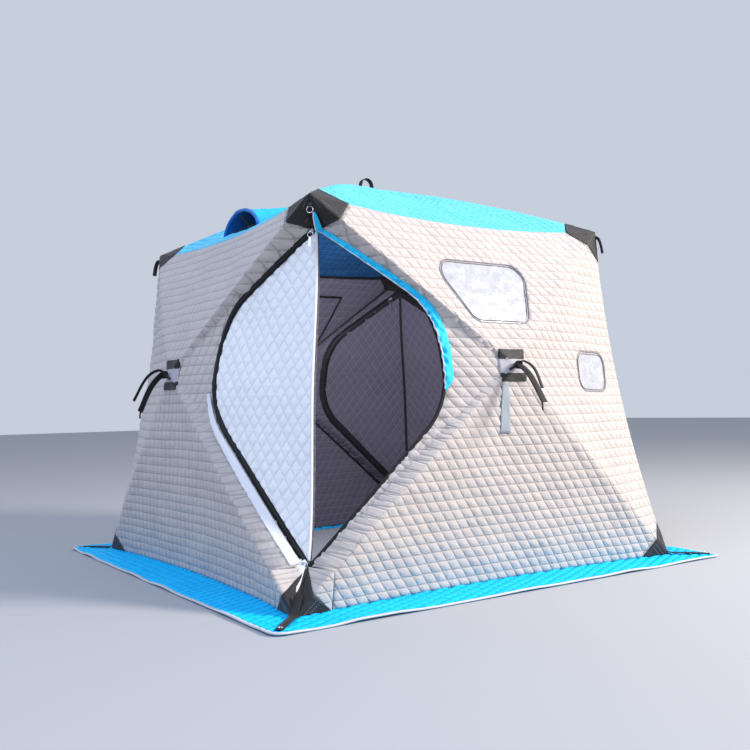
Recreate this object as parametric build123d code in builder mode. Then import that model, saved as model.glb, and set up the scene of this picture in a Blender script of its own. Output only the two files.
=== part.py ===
"""A pop-up hub shelter for ice fishing: a quilted cloth cabin on a frame of flexed poles.

Origin at the centre of the base on the ice, +Z up, millimetres. The front wall faces -Y and
the left wall faces -X. The door corners are at -X -Y (half open) and at +X +Y (closed).
The shelter is the same again when it is turned half a turn, and its frame and cloth are
mirror images across the upright plane through the two door corners.
"""

import os
from math import degrees

import numpy
from build123d import *

# Overall size
base_half = 1000
top_half = 793
corner_height = 1550
wall_hub_out = 1051
wall_hub_height = 892
roof_peak = 1838

# How the seams sag and the poles bow
top_seam_drop = 40
top_seam_in = 30
foot_seam_in = 65
end_seam_in = 36
wall_pole_bow = 17
roof_pole_bow = 30

# Cloth, skirt and trims
cloth = 7
skirt_width = 168
skirt_thickness = 6
skirt_tuck = 30
skirt_corner_radius = 45
webbing_width = 30
webbing_thickness = 2.5
hairline = 0.3

# Door: where the fold line ends and the D-shaped outline of each half
fold_top_in = 65
fold_top_drop = 115
fold_foot_in = 132
fold_foot_up = 150
door_top = (top_half - fold_top_in, corner_height - fold_top_drop)
door_foot = (base_half - fold_foot_in, fold_foot_up)
fold_pull = 2
door_nose = 298
door_nose_top = 1100
door_nose_foot = 724
door_radius = 300
zip_half_width = 8
zip_proud = 1.5
door_gap = 1
fold_width = 12
flap_width = 42
flap_thickness = 3
flap_end_height = 780
low_flap_width = 28
flap_end_gap = 12

# Corner pockets
top_pocket_along = 190
top_pocket_down = 150
foot_pocket_along = 160
foot_pocket_up = 150
pocket_lap = 22

# Windows on the front and back walls: their corners in the wall's view
film_thickness = 2
big_window_corners = ((-262, 1335), (228, 1335), (160, 1067), (-125, 1067))
big_window_radius = 45
small_window_corners = ((478, 962), (740, 958), (712, 776), (468, 782))
small_window_radius = 50

# Frame
pole_diameter = 11
pole_fit = 0.3
socket_diameter = 17
socket_root = 16
socket_length = 70
socket_bore = 45
frame_clearance = 1.5
boot_depth = 42
boot_lift = 16
boot_block = 26
boot_chamfer = 4
hub_diameter = 64
hub_crown = 21
hub_rise = 7
hub_rim = 12
hub_back = 16

# Hub patches and pull straps
patch_width = 130
patch_height = 128
patch_thickness = 2
strap_hang = 165
strap_reach = 185
strap_upper_bend = (0.62, 0.25)
strap_lower_bend = (0.5, 0.48)
roof_loop_half = 36
roof_loop_rise = 52
roof_loop_seat = 4
anchor_length = 185
anchor_climb = 60
eyelet_diameter = 9

# Roof vent hood
hood_out = 700
hood_lap = 36
hood_half_width = 170
hood_rise = 108
hood_back = 447
hood_thickness = 4
roof_swell = 14

pole_depth = cloth + frame_clearance + socket_diameter / 2

os.makedirs("parts", exist_ok=True)

door_mirror = Plane(origin=(0, 0, 0), z_dir=(1, -1, 0))
end_mirror = Plane(origin=(0, 0, 0), z_dir=(1, 1, 0))


def across_door(point):
    """The point mirrored across the upright plane through the door corners."""
    return Vector(point.Y, point.X, point.Z)


def across_end(point):
    """The point mirrored across the upright plane through the other two corners."""
    return Vector(-point.Y, -point.X, point.Z)


def diagonal_point(distance, height):
    """A point of the near door corner's upright plane."""
    return Vector(-distance, -distance, height)


def outward(a, b, c):
    """Unit normal of the plane through three points, pointing out of the cabin."""
    normal = (b - a).cross(c - a).normalized()
    cabin_middle = Vector(0, 0, corner_height / 2)
    return normal if normal.dot(a - cabin_middle) > 0 else -normal


def inset(point, normals, depth, level=False):
    """The point moved so that it lies at this depth below each face with these normals."""
    axes = 2 if level else 3
    faces = [tuple(normal)[:axes] for normal in normals]
    move = numpy.linalg.lstsq(faces, [-depth] * len(faces), rcond=None)[0]
    return point + Vector(*(float(step) for step in move))


# Corners of the front wall, its hub and the roof's hub
door_top_tip = diagonal_point(top_half, corner_height)
door_foot_tip = diagonal_point(base_half, skirt_thickness)
end_top_tip = Vector(top_half, -top_half, corner_height)
end_foot_tip = Vector(base_half, -base_half, skirt_thickness)
wall_hub = Vector(0, -wall_hub_out, wall_hub_height)
roof_hub = Vector(0, 0, roof_peak)
fold_top = diagonal_point(*door_top)
fold_foot = diagonal_point(*door_foot)

# Outward normals of the gores that meet there
top_normal = outward(wall_hub, door_top_tip, end_top_tip)
foot_normal = outward(wall_hub, door_foot_tip, end_foot_tip)
door_top_normal = outward(wall_hub, door_top_tip, fold_top)
door_foot_normal = outward(wall_hub, door_foot_tip, fold_foot)
end_normal = outward(wall_hub, end_top_tip, end_foot_tip)
roof_normal = outward(roof_hub, door_top_tip, end_top_tip)
fold_normal = outward(wall_hub, fold_top, fold_foot)

hub_normals = [top_normal, foot_normal, door_top_normal, door_foot_normal, end_normal]
roof_hub_normals = [
    roof_normal,
    across_door(roof_normal),
    across_end(roof_normal),
    across_end(across_door(roof_normal)),
]


def both(mirrored, *normals):
    """The normals of one wall and of its mirror image."""
    return [*normals, *(mirrored(normal) for normal in normals)]


door_top_normals = both(across_door, top_normal, door_top_normal, roof_normal)
door_foot_normals = both(across_door, foot_normal, door_foot_normal)
end_top_normals = both(across_end, top_normal, end_normal, roof_normal)
end_foot_normals = both(across_end, foot_normal, end_normal)
fold_normals = both(across_door, fold_normal)
fold_top_normals = both(across_door, fold_normal, door_top_normal)
fold_foot_normals = both(across_door, fold_normal, door_foot_normal)


class Ridge:
    """The line from a hub to a corner, where two gores meet over a flexed pole."""

    def __init__(self, hub, hub_faces, tip, tip_faces, sides, bow, level=False):
        self.hub = hub
        self.hub_faces = hub_faces
        self.tip = tip
        self.tip_faces = tip_faces
        self.sides = sides
        self.middle = (hub + tip) / 2 + (sides[0] + sides[1]).normalized() * bow
        self.level = level

    def __call__(self, depth):
        """The ridge's arc at this depth below the cloth's outer face."""
        return Edge.make_three_point_arc(
            inset(self.hub, self.hub_faces, depth),
            inset(self.middle, self.sides, depth),
            inset(self.tip, self.tip_faces, depth, self.level),
        )

    def pole_axis(self):
        """The middle line of the pole, from the hub's centre to the boot's."""
        end = inset(self.tip, self.tip_faces, boot_depth, self.level)
        if self.level:
            end += Vector(0, 0, boot_lift)
        return Edge.make_three_point_arc(
            inset(self.hub, self.hub_faces, pole_depth),
            inset(self.middle, self.sides, pole_depth),
            end,
        )


def seam(start, start_faces, end, end_faces, middle, sides, level=False):
    """The sagging seam between two corners, as a function of depth."""

    def at_depth(depth):
        return Edge.make_three_point_arc(
            inset(start, start_faces, depth, level),
            inset(middle, sides, depth, level),
            inset(end, end_faces, depth, level),
        )

    return at_depth


def door_seam(depth):
    """The corner line that the door folds on, set back from the two tips."""
    top_tip = inset(door_top_tip, door_top_normals, depth)
    top = inset(fold_top, fold_top_normals, depth)
    foot = inset(fold_foot, fold_foot_normals, depth)
    foot_tip = inset(door_foot_tip, door_foot_normals, depth, True)
    fold = (foot - top).normalized()
    from_tip = (top - top_tip).normalized()
    to_tip = (foot_tip - foot).normalized()
    bends = [from_tip, from_tip + fold * fold_pull, fold, to_tip + fold * fold_pull, to_tip]
    return Edge.make_spline(
        [top_tip, top, (top + foot) / 2, foot, foot_tip],
        tangents=[bend.normalized() for bend in bends],
    )


def end_seam(depth):
    """The plain corner line between the front wall and the right wall."""
    top = inset(end_top_tip, end_top_normals, depth)
    foot = inset(end_foot_tip, end_foot_normals, depth, True)
    middle = (end_top_tip + end_foot_tip) / 2 + Vector(-end_seam_in, end_seam_in, 0)
    sides = both(across_end, end_normal)
    return Edge.make_three_point_arc(top, inset(middle, sides, depth), foot)


door_top_ridge = Ridge(
    wall_hub,
    hub_normals,
    door_top_tip,
    door_top_normals,
    [top_normal, door_top_normal],
    wall_pole_bow,
)
end_top_ridge = Ridge(
    wall_hub, hub_normals, end_top_tip, end_top_normals, [top_normal, end_normal], wall_pole_bow
)
door_foot_ridge = Ridge(
    wall_hub,
    hub_normals,
    door_foot_tip,
    door_foot_normals,
    [foot_normal, door_foot_normal],
    wall_pole_bow,
    level=True,
)
end_foot_ridge = Ridge(
    wall_hub,
    hub_normals,
    end_foot_tip,
    end_foot_normals,
    [foot_normal, end_normal],
    wall_pole_bow,
    level=True,
)
roof_door_ridge = Ridge(
    roof_hub,
    roof_hub_normals,
    door_top_tip,
    door_top_normals,
    both(across_door, roof_normal),
    roof_pole_bow,
)
roof_end_ridge = Ridge(
    roof_hub,
    roof_hub_normals,
    end_top_tip,
    end_top_normals,
    both(across_end, roof_normal),
    roof_pole_bow,
)
top_seam = seam(
    door_top_tip,
    door_top_normals,
    end_top_tip,
    end_top_normals,
    Vector(0, -top_half + top_seam_in, corner_height - top_seam_drop),
    [top_normal, roof_normal],
)
foot_seam = seam(
    door_foot_tip,
    door_foot_normals,
    end_foot_tip,
    end_foot_normals,
    Vector(0, -base_half + foot_seam_in, skirt_thickness),
    [foot_normal],
    level=True,
)

# Each gore: its first pole line, its seam and its second pole line
top_gore = (door_top_ridge, top_seam, end_top_ridge)
foot_gore = (door_foot_ridge, foot_seam, end_foot_ridge)
door_gore = (door_top_ridge, door_seam, door_foot_ridge)
end_gore = (end_top_ridge, end_seam, end_foot_ridge)
roof_gore = (roof_door_ridge, top_seam, roof_end_ridge)
wall_gores = (top_gore, foot_gore, door_gore, end_gore)


def layer(gore, outside, inside):
    """The solid between two depths of a gore, mitred to its neighbours along every edge."""
    skins = []
    borders = []
    for depth in (outside, inside):
        first, rim, second = (line(depth) for line in gore)
        skin = Face.make_gordon_surface([first @ 0, rim], [first, second])
        skins.append(skin)
        borders.append([skin.edges().sort_by_distance(line @ 0.5)[0] for line in (first, rim, second)])
    sides = [Face.make_surface_from_curves(outer, inner) for outer, inner in zip(*borders)]
    return Solid(Shell([*skins, *sides]))


def pocket_block(mirror_plane, side, seam_point, corner_point):
    """Block round a corner tip, cut by a slant from the seams to a point of the corner line."""
    outward_way = Vector(side, -1, 0).normalized()
    upright = Plane(origin=(0, 0, 0), x_dir=outward_way, z_dir=mirror_plane.z_dir)
    seam_place = upright.to_local_coords(seam_point)
    corner_place = upright.to_local_coords(corner_point)
    beyond = seam_place + (seam_place - corner_place) * 2
    far = 2 * base_half
    with BuildPart() as block:
        with BuildSketch(upright):
            Polygon(
                (beyond.X, beyond.Y),
                (corner_place.X, corner_place.Y),
                (far, corner_place.Y),
                (far, beyond.Y),
                align=None,
            )
        extrude(amount=far / 2, both=True)
    return block.part


end_corner_line = (end_foot_tip - end_top_tip).normalized()
door_pocket_lap = Vector(pocket_lap, pocket_lap, 0)
door_top_block = pocket_block(
    door_mirror,
    -1,
    door_top_tip + Vector(top_pocket_along, 0, 0),
    fold_top + door_pocket_lap,
)
door_foot_block = pocket_block(
    door_mirror,
    -1,
    door_foot_tip + Vector(foot_pocket_along, 0, 0),
    fold_foot + door_pocket_lap,
)
end_top_block = pocket_block(
    end_mirror,
    1,
    end_top_tip - Vector(top_pocket_along, 0, 0),
    end_top_tip + end_corner_line * top_pocket_down,
)
end_foot_block = pocket_block(
    end_mirror,
    1,
    end_foot_tip - Vector(foot_pocket_along, 0, 0),
    end_foot_tip - end_corner_line * foot_pocket_up,
)
gore_pockets = {
    top_gore: (door_top_block, end_top_block),
    foot_gore: (door_foot_block, end_foot_block),
    door_gore: (door_top_block, door_foot_block),
    end_gore: (end_top_block, end_foot_block),
    roof_gore: (door_top_block, end_top_block),
}


def door_outline(margin):
    """Block through the front wall in the outline of a door half, grown by the margin."""
    far = 2 * base_half
    with BuildPart() as block:
        with BuildSketch(Plane.XZ):
            with BuildLine():
                edge = FilletPolyline(
                    (-door_top[0], door_top[1]),
                    (-door_nose, door_nose_top),
                    (-door_nose, door_nose_foot),
                    (-door_foot[0], door_foot[1]),
                    radius=door_radius,
                )
                Polyline(edge @ 1, (-far, door_foot[1]), (-far, door_top[1]), edge @ 0)
            make_face()
            if margin:
                offset(amount=margin, kind=Kind.INTERSECTION)
            with Locations((-base_half, (door_top[1] + door_foot[1]) / 2)):
                Rectangle(2 * base_half, door_top[1] - door_foot[1], mode=Mode.INTERSECT)
        extrude(amount=far)
    return block.part


def window_block(corners, radius):
    """Block through the front wall in the outline of a window."""
    with BuildPart() as block:
        with BuildSketch(Plane.XZ):
            with BuildLine():
                FilletPolyline(*corners, radius=radius, close=True)
            make_face()
        extrude(amount=2 * base_half)
    return block.part


door_block = door_outline(0)
door_block_outer = door_outline(zip_half_width)
door_block_inner = door_outline(-zip_half_width)
big_window = window_block(big_window_corners, big_window_radius)
small_window = window_block(small_window_corners, small_window_radius)


def mirrored(shape, about=door_mirror):
    """A mirror image, for the wall on the other side of the door corner."""
    with BuildPart() as image:
        mirror(shape, about=about, mode=Mode.ADD)
    return image.part


def turned(shape):
    """The same piece on the opposite side of the shelter."""
    return shape.rotate(Axis.Z, 180)


def write(part, name):
    """Label a finished piece and write it."""
    part.label = name
    export_step(part, f"parts/{name}.step")


def write_walls(shape, name):
    """Write a piece of the front wall and its images on the other three walls."""
    image = mirrored(shape)
    write(shape, f"front_{name}")
    write(image, f"left_{name}")
    write(turned(shape), f"back_{name}")
    write(turned(image), f"right_{name}")


def cloth_panel(gore, *openings):
    """The cloth of a gore between its two corner pockets, with its openings."""
    with BuildPart() as panel:
        add(layer(gore, 0, cloth))
        for block in (*gore_pockets[gore], *openings):
            add(block, mode=Mode.SUBTRACT)
    return panel.part


# Wall cloth
wall_top = cloth_panel(top_gore)
windowed_wall_top = cloth_panel(top_gore, big_window)
wall_foot = cloth_panel(foot_gore)
wall_end = cloth_panel(end_gore)
windowed_wall_end = cloth_panel(end_gore, small_window)
wall_door_side = cloth_panel(door_gore, door_block_outer)
roof_panel = cloth_panel(roof_gore)


def inside(gore, outside, depth, *blocks):
    """The part of a layer of a gore that lies inside all the blocks."""
    with BuildPart() as piece:
        add(layer(gore, outside, depth))
        for block in blocks:
            add(block, mode=Mode.INTERSECT)
    return piece.part


def joined(*pieces):
    """Pieces sewn into one."""
    with BuildPart() as whole:
        for piece in pieces:
            add(piece)
    return whole.part


# Corner pockets, one solid round each tip
def pocket(block, about, *gores):
    """The corner pieces of the gores on both sides of a corner, in one."""
    half = joined(*(inside(gore, 0, cloth, block) for gore in gores))
    return joined(half, mirrored(half, about))


door_top_pocket = pocket(door_top_block, door_mirror, top_gore, door_gore, roof_gore)
end_top_pocket = pocket(end_top_block, end_mirror, top_gore, end_gore, roof_gore)
door_foot_pocket = pocket(door_foot_block, door_mirror, foot_gore, door_gore)
end_foot_pocket = pocket(end_foot_block, end_mirror, foot_gore, end_gore)

# Window films, in the middle of the cloth
film_depth = (cloth - film_thickness) / 2
big_pane = inside(top_gore, film_depth, film_depth + film_thickness, big_window)
small_pane = inside(end_gore, film_depth, film_depth + film_thickness, small_window)

# Zips: a full band where a door half is closed, the outer tape alone where it is open
with BuildPart() as zip_band:
    add(layer(door_gore, -zip_proud, cloth + zip_proud))
    add(door_block_outer, mode=Mode.INTERSECT)
    add(door_block_inner, mode=Mode.SUBTRACT)
with BuildPart() as zip_tape:
    add(layer(door_gore, -zip_proud, cloth + zip_proud))
    add(door_block_outer, mode=Mode.INTERSECT)
    add(door_block, mode=Mode.SUBTRACT)

# Doors
door_half = inside(door_gore, 0, cloth, door_block_inner)
with BuildPart() as folded_gap:
    add(layer(door_gore, cloth, cloth + door_gap))
    split(bisect_by=door_mirror.offset(fold_width), keep=Keep.TOP)
with BuildPart() as folded_half:
    add(inside(door_gore, 0, 2 * cloth + door_gap, door_block_inner))
    add(folded_gap.part, mode=Mode.SUBTRACT)
back_door_half = joined(door_half, mirrored(door_half))

# Storm flaps: over the upper opening edge, and beside the lower zip of the left wall
def flap(width, low, high):
    """A cloth strip that lies over a zip's outer edge, between two heights."""
    with BuildPart() as strip:
        add(layer(door_gore, -zip_proud - hairline - flap_thickness, -zip_proud - hairline))
        add(door_outline(zip_half_width + width), mode=Mode.INTERSECT)
        add(door_block, mode=Mode.SUBTRACT)
        split(bisect_by=Plane((0, 0, low)), keep=Keep.TOP)
        split(bisect_by=Plane((0, 0, high)), keep=Keep.BOTTOM)
    return strip.part


upper_flap = flap(flap_width, flap_end_height, door_top[1] - flap_end_gap)
lower_flap = flap(low_flap_width, door_foot[1] + flap_end_gap, flap_end_height)

# Skirt, a ring cut along the corners' mitres
with BuildPart() as skirt_ring:
    with BuildSketch():
        Rectangle(2 * (base_half + skirt_width), 2 * (base_half + skirt_width))
        fillet(vertices(), radius=skirt_corner_radius)
        with BuildLine(mode=Mode.PRIVATE) as tuck_line:
            tuck_half = base_half - skirt_tuck
            tuck_middle = tuck_half - foot_seam_in
            corners = [(-tuck_half, -tuck_half), (tuck_half, -tuck_half)]
            corners += [(tuck_half, tuck_half), (-tuck_half, tuck_half)]
            middles = [(0, -tuck_middle), (tuck_middle, 0), (0, tuck_middle), (-tuck_middle, 0)]
            for corner, middle, following in zip(corners, middles, corners[1:] + corners[:1]):
                ThreePointArc(corner, middle, following)
        make_face(tuck_line.line, mode=Mode.SUBTRACT)
    extrude(amount=skirt_thickness)
with BuildPart() as skirt_strip:
    add(skirt_ring.part)
    split(bisect_by=door_mirror, keep=Keep.TOP)
    split(bisect_by=end_mirror, keep=Keep.BOTTOM)


wall_axes = [
    ridge.pole_axis()
    for ridge in (door_top_ridge, end_top_ridge, door_foot_ridge, end_foot_ridge)
]
roof_axes = [roof_door_ridge.pole_axis(), roof_end_ridge.pole_axis()]


def pole(axis):
    """A pole bent along its axis, seated in its hub socket and its boot."""
    length = axis.length
    start, end = socket_length - socket_bore, length - socket_length + socket_bore
    bent = axis.trim(start / length, end / length)
    with BuildPart() as bar:
        with BuildSketch(Plane(origin=bent @ 0, z_dir=bent % 0)):
            Circle(pole_diameter / 2)
        revolve(
            axis=Axis(bent.arc_center, bent.normal()),
            revolution_arc=degrees(bent.length / bent.radius),
        )
    return bar.part


def tube_between(start, end, diameter):
    """A straight round bar between two points."""
    with BuildPart() as bar:
        with BuildSketch(Plane(origin=start, z_dir=end - start)):
            Circle(diameter / 2)
        extrude(amount=(end - start).length)
    return bar.part


def place(axis, distance):
    """The point this far along an axis."""
    return axis @ (distance / axis.length)


def hub_body(centre, outward_way, axes):
    """A moulded hub: a shallow dome with a socket along each pole."""
    face = Plane(origin=centre, z_dir=outward_way)
    across = Plane(origin=centre, x_dir=face.x_dir, z_dir=face.x_dir.cross(outward_way))
    with BuildPart() as body:
        for axis in axes:
            add(tube_between(place(axis, socket_root), place(axis, socket_length), socket_diameter))
        with BuildSketch(across):
            with BuildLine():
                Polyline(
                    (0, -hub_back),
                    (hub_diameter / 2, -hub_back),
                    (hub_diameter / 2, hub_rise - hub_rim),
                    (hub_crown / 2, hub_rise),
                    (0, hub_rise),
                    close=True,
                )
            make_face()
        revolve(axis=Axis(centre, outward_way))
        for axis in axes:
            add(
                tube_between(
                    place(axis, socket_length - socket_bore),
                    place(axis, socket_length + socket_bore),
                    pole_diameter + 2 * pole_fit,
                ),
                mode=Mode.SUBTRACT,
            )
    return body.part


def boot(axes):
    """A corner boot: a round block with a cup along each pole that ends there."""
    with BuildPart() as body:
        with Locations(Plane(origin=axes[0] @ 1)):
            Cylinder(boot_block / 2, boot_block)
            chamfer(body.edges(), length=boot_chamfer)
        for axis in axes:
            mouth = place(axis, axis.length - socket_length)
            add(tube_between(mouth, place(axis, axis.length - boot_block / 4), socket_diameter))
        for axis in axes:
            add(
                tube_between(
                    place(axis, axis.length - socket_length - socket_bore),
                    place(axis, axis.length - socket_length + socket_bore),
                    pole_diameter + 2 * pole_fit,
                ),
                mode=Mode.SUBTRACT,
            )
    return body.part


def image_edges(axes, about):
    """The axes and their mirror images."""
    return [*axes, *(axis.mirror(about) for axis in axes)]


hub_centre = inset(wall_hub, hub_normals, pole_depth)
front_hub = hub_body(hub_centre, Vector(0, -1, 0), wall_axes)
roof_centre = inset(roof_hub, roof_hub_normals, pole_depth)
roof_all_axes = [*roof_axes, *(axis.rotate(Axis.Z, 180) for axis in roof_axes)]
roof_hub_body = hub_body(roof_centre, Vector(0, 0, 1), roof_all_axes)
door_top_boot = boot([*image_edges([wall_axes[0]], door_mirror), roof_axes[0]])
end_top_boot = boot([*image_edges([wall_axes[1]], end_mirror), roof_axes[1]])
door_foot_boot = boot(image_edges([wall_axes[2]], door_mirror))
end_foot_boot = boot(image_edges([wall_axes[3]], end_mirror))


# Hub patch: a square of webbing cloth sewn over the hub
with BuildPart() as patch_block:
    with BuildSketch(Plane.XZ):
        with Locations((0, wall_hub_height)):
            Rectangle(patch_width, patch_height)
    extrude(amount=2 * base_half)
hub_patch = joined(
    *(
        inside(gore, -hairline - patch_thickness, -hairline, patch_block.part)
        for gore in wall_gores
    )
)


def ribbon(plane, width, *arcs):
    """Webbing along arcs in a plane, seen edge-on there, and of this width across it."""
    with BuildPart() as webbing:
        with BuildSketch(plane):
            with BuildLine():
                for arc in arcs:
                    ThreePointArc(*arc)
            trace(line_width=webbing_thickness)
        extrude(amount=width / 2, both=True)
    return webbing.part


# Pull strap: a loop of webbing that hangs out from the hub patch
strap_root = -wall_hub_out - patch_thickness - hairline - webbing_thickness / 2
strap_tip = (strap_root - strap_reach, wall_hub_height - strap_hang)
pull_strap = ribbon(
    Plane.YZ,
    webbing_width,
    (
        (strap_root, wall_hub_height + webbing_thickness),
        (
            strap_root - strap_reach * strap_upper_bend[0],
            wall_hub_height - strap_hang * strap_upper_bend[1],
        ),
        strap_tip,
    ),
    (
        (strap_root, wall_hub_height - 2 * webbing_thickness),
        (
            strap_root - strap_reach * strap_lower_bend[0],
            wall_hub_height - strap_hang * strap_lower_bend[1],
        ),
        strap_tip,
    ),
)

# Roof loop: webbing arched over the roof hub
loop_foot = (
    roof_peak
    - roof_loop_half * (roof_peak - corner_height) / top_half
    + roof_loop_seat
)
roof_loop = ribbon(
    Plane.XZ,
    webbing_width,
    (
        (-roof_loop_half, loop_foot),
        (0, roof_peak + roof_loop_rise),
        (roof_loop_half, loop_foot),
    ),
)


def anchor_strap(mirror_plane, side, foot_point, climb_point):
    """Webbing that comes down a corner seam and lies out over the skirt to an eyelet."""
    outward_way = Vector(side, -1, 0).normalized()
    upright = Plane(origin=(0, 0, 0), x_dir=outward_way, z_dir=outward_way.cross(Vector(0, 0, 1)))
    foot = upright.to_local_coords(foot_point)
    climb = upright.to_local_coords(climb_point)
    lie = skirt_thickness + webbing_thickness / 2
    with BuildPart() as webbing:
        with BuildSketch(upright):
            with BuildLine():
                Polyline(
                    (foot.X + anchor_length, lie),
                    (foot.X + webbing_thickness, lie),
                    (climb.X + webbing_thickness, climb.Y),
                )
            trace(line_width=webbing_thickness)
        extrude(amount=webbing_width / 2, both=True)
        eyelet_place = outward_way * (foot.X + anchor_length - webbing_width / 2)
        with Locations(Plane(origin=eyelet_place)):
            Cylinder(eyelet_diameter / 2, 4 * skirt_thickness, mode=Mode.SUBTRACT)
    return webbing.part


door_ridge_way = (wall_hub - door_foot_tip).normalized()
door_climb_way = (door_ridge_way + across_door(door_ridge_way)).normalized()
door_anchor = anchor_strap(
    door_mirror, -1, door_foot_tip, door_foot_tip + door_climb_way * anchor_climb
)
end_anchor = anchor_strap(
    end_mirror, 1, end_foot_tip, end_foot_tip - end_corner_line * anchor_climb
)

# Roof vent hood on the left roof gore
roof_floor = mirrored(layer(roof_gore, 0, hood_rise))
hood_base = (
    corner_height
    - top_seam_drop
    + (top_half - top_seam_in - hood_out)
    * (roof_peak - corner_height + top_seam_drop)
    / (top_half - top_seam_in)
)
hood_end = Vector(
    -hood_back,
    0,
    hood_base
    + (hood_out - hood_back) * (roof_peak - hood_base) / hood_out
    + roof_swell,
)


def hood_cone(shrink):
    """The solid under the hood, shrunk by the cloth's thickness."""
    rise = hood_base + hood_rise - shrink
    half_width = hood_half_width - shrink
    floor = hood_base - hood_lap
    with BuildPart() as cone:
        with BuildSketch(Plane.YZ.offset(-hood_out - shrink)):
            with BuildLine():
                arch = ThreePointArc((-half_width, hood_base), (0, rise), (half_width, hood_base))
                Polyline(arch @ 1, (half_width, floor), (-half_width, floor), arch @ 0)
            make_face()
        loft(sections=[cone.pending_faces[0], Vertex(*(hood_end - Vector(0, 0, shrink)))])
    return cone.part


with BuildPart() as vent_hood:
    add(hood_cone(0))
    add(hood_cone(hood_thickness), mode=Mode.SUBTRACT)
    add(roof_floor, mode=Mode.SUBTRACT)


def opposite(*shapes):
    """Pieces and the same ones half a turn round the shelter, as one node."""
    return joined(*shapes, *(turned(shape) for shape in shapes))


def on_four_walls(shape):
    """A piece of the front wall and its images on the other three, as one node."""
    return opposite(shape, mirrored(shape))


# Write every node
for wall, cloth_top, cloth_end in (
    ("front", windowed_wall_top, windowed_wall_end),
    ("back", turned(windowed_wall_top), turned(windowed_wall_end)),
    ("left", mirrored(wall_top), mirrored(wall_end)),
    ("right", turned(mirrored(wall_top)), turned(mirrored(wall_end))),
):
    write(cloth_top, f"{wall}_wall_top")
    write(cloth_end, f"{wall}_wall_end")
write_walls(wall_foot, "wall_foot")
write_walls(wall_door_side, "wall_door_side")
write_walls(roof_panel, "roof")
write_walls(skirt_strip.part, "skirt")
write(opposite(door_top_pocket, end_top_pocket), "top_corner_pockets")
write(opposite(door_foot_pocket, end_foot_pocket), "foot_corner_pockets")
write(mirrored(folded_half.part), "front_door")
write(turned(back_door_half), "back_door")
write(joined(zip_tape.part, mirrored(zip_band.part)), "front_door_zips")
write(turned(joined(zip_band.part, mirrored(zip_band.part))), "back_door_zips")
write(opposite(big_pane), "large_window_films")
write(opposite(small_pane), "small_window_films")
write(opposite(upper_flap, mirrored(lower_flap)), "storm_flaps")
write(on_four_walls(hub_patch), "hub_patches")
write(on_four_walls(pull_strap), "pull_straps")
write(roof_loop, "roof_strap_loop")
write(opposite(door_anchor, end_anchor), "anchor_straps")
write(on_four_walls(joined(*(pole(axis) for axis in wall_axes))), "wall_poles")
write(opposite(*(pole(axis) for axis in roof_axes)), "roof_poles")
write(on_four_walls(front_hub), "wall_hubs")
write(roof_hub_body, "roof_hub")
write(opposite(door_top_boot, end_top_boot), "top_corner_boots")
write(opposite(door_foot_boot, end_foot_boot), "foot_corner_boots")
write(opposite(vent_hood.part), "roof_vent_hoods")
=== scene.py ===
"""Looks of a pop-up ice fishing shelter: quilted cloth stretched over flexed poles."""

import math

import bmesh
import bpy
import numpy as np
from mathutils import Matrix, Vector
from mathutils.bvhtree import BVHTree
from mathutils.geometry import delaunay_2d_cdt
from mathutils.kdtree import KDTree


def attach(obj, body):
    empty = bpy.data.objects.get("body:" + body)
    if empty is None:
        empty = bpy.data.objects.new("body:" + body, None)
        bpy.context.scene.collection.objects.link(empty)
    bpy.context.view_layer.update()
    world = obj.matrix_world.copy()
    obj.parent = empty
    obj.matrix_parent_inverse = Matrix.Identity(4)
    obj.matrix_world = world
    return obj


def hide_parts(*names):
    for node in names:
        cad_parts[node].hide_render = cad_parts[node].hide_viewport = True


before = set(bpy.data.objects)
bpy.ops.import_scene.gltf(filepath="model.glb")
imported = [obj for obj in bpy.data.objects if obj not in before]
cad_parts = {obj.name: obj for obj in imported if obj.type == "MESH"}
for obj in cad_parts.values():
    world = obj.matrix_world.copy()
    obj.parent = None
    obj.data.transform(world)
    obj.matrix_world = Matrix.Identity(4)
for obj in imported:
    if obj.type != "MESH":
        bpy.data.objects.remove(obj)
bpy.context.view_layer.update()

# Camera of the photograph's view, in metres and radians
camera_place = (-2.4838, -3.7125, 0.7288)
camera_yaw = -0.5955
camera_pitch = 0.0361
camera_roll = -0.0203
camera_lens = 42.52

# Sizes shared with the solids, in metres
base_half = 1.0
top_half = 0.793
corner_height = 1.55
wall_hub_out = 1.051
wall_hub_height = 0.892
roof_peak = 1.838
top_seam_drop = 0.040
top_seam_in = 0.030
foot_seam_in = 0.065
end_seam_in = 0.036
wall_pole_bow = 0.017
roof_pole_bow = 0.030
cloth = 0.007
skirt_width = 0.168
skirt_thickness = 0.006
skirt_tuck = 0.030
skirt_corner_radius = 0.045
door_top = (0.728, 1.435)
door_foot = (0.868, 0.150)
fold_pull = 2
door_nose = 0.298
door_nose_top = 1.100
door_nose_foot = 0.724
door_radius = 0.300
top_pocket_along = 0.190
top_pocket_down = 0.150
foot_pocket_along = 0.160
foot_pocket_up = 0.150
pocket_lap = 0.022
patch_width = 0.130
webbing_width = 0.030

# Thicknesses and widths of what is sewn on, in metres
webbing_thickness = 0.0032
plain_cloth = 0.0016
hem_rise = 0.0016
hem_width = 0.011
tape_width = 0.014
tape_thickness = 0.0022

# Corners of the windows' film on the front wall, as (x, z), and their radius
big_window_corners = ((-0.292, 1.335), (0.246, 1.335), (0.156, 1.065), (-0.140, 1.065))
big_window_radius = 0.068
small_window_corners = ((0.478, 0.962), (0.740, 0.958), (0.712, 0.776), (0.468, 0.782))
small_window_radius = 0.058

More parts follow.
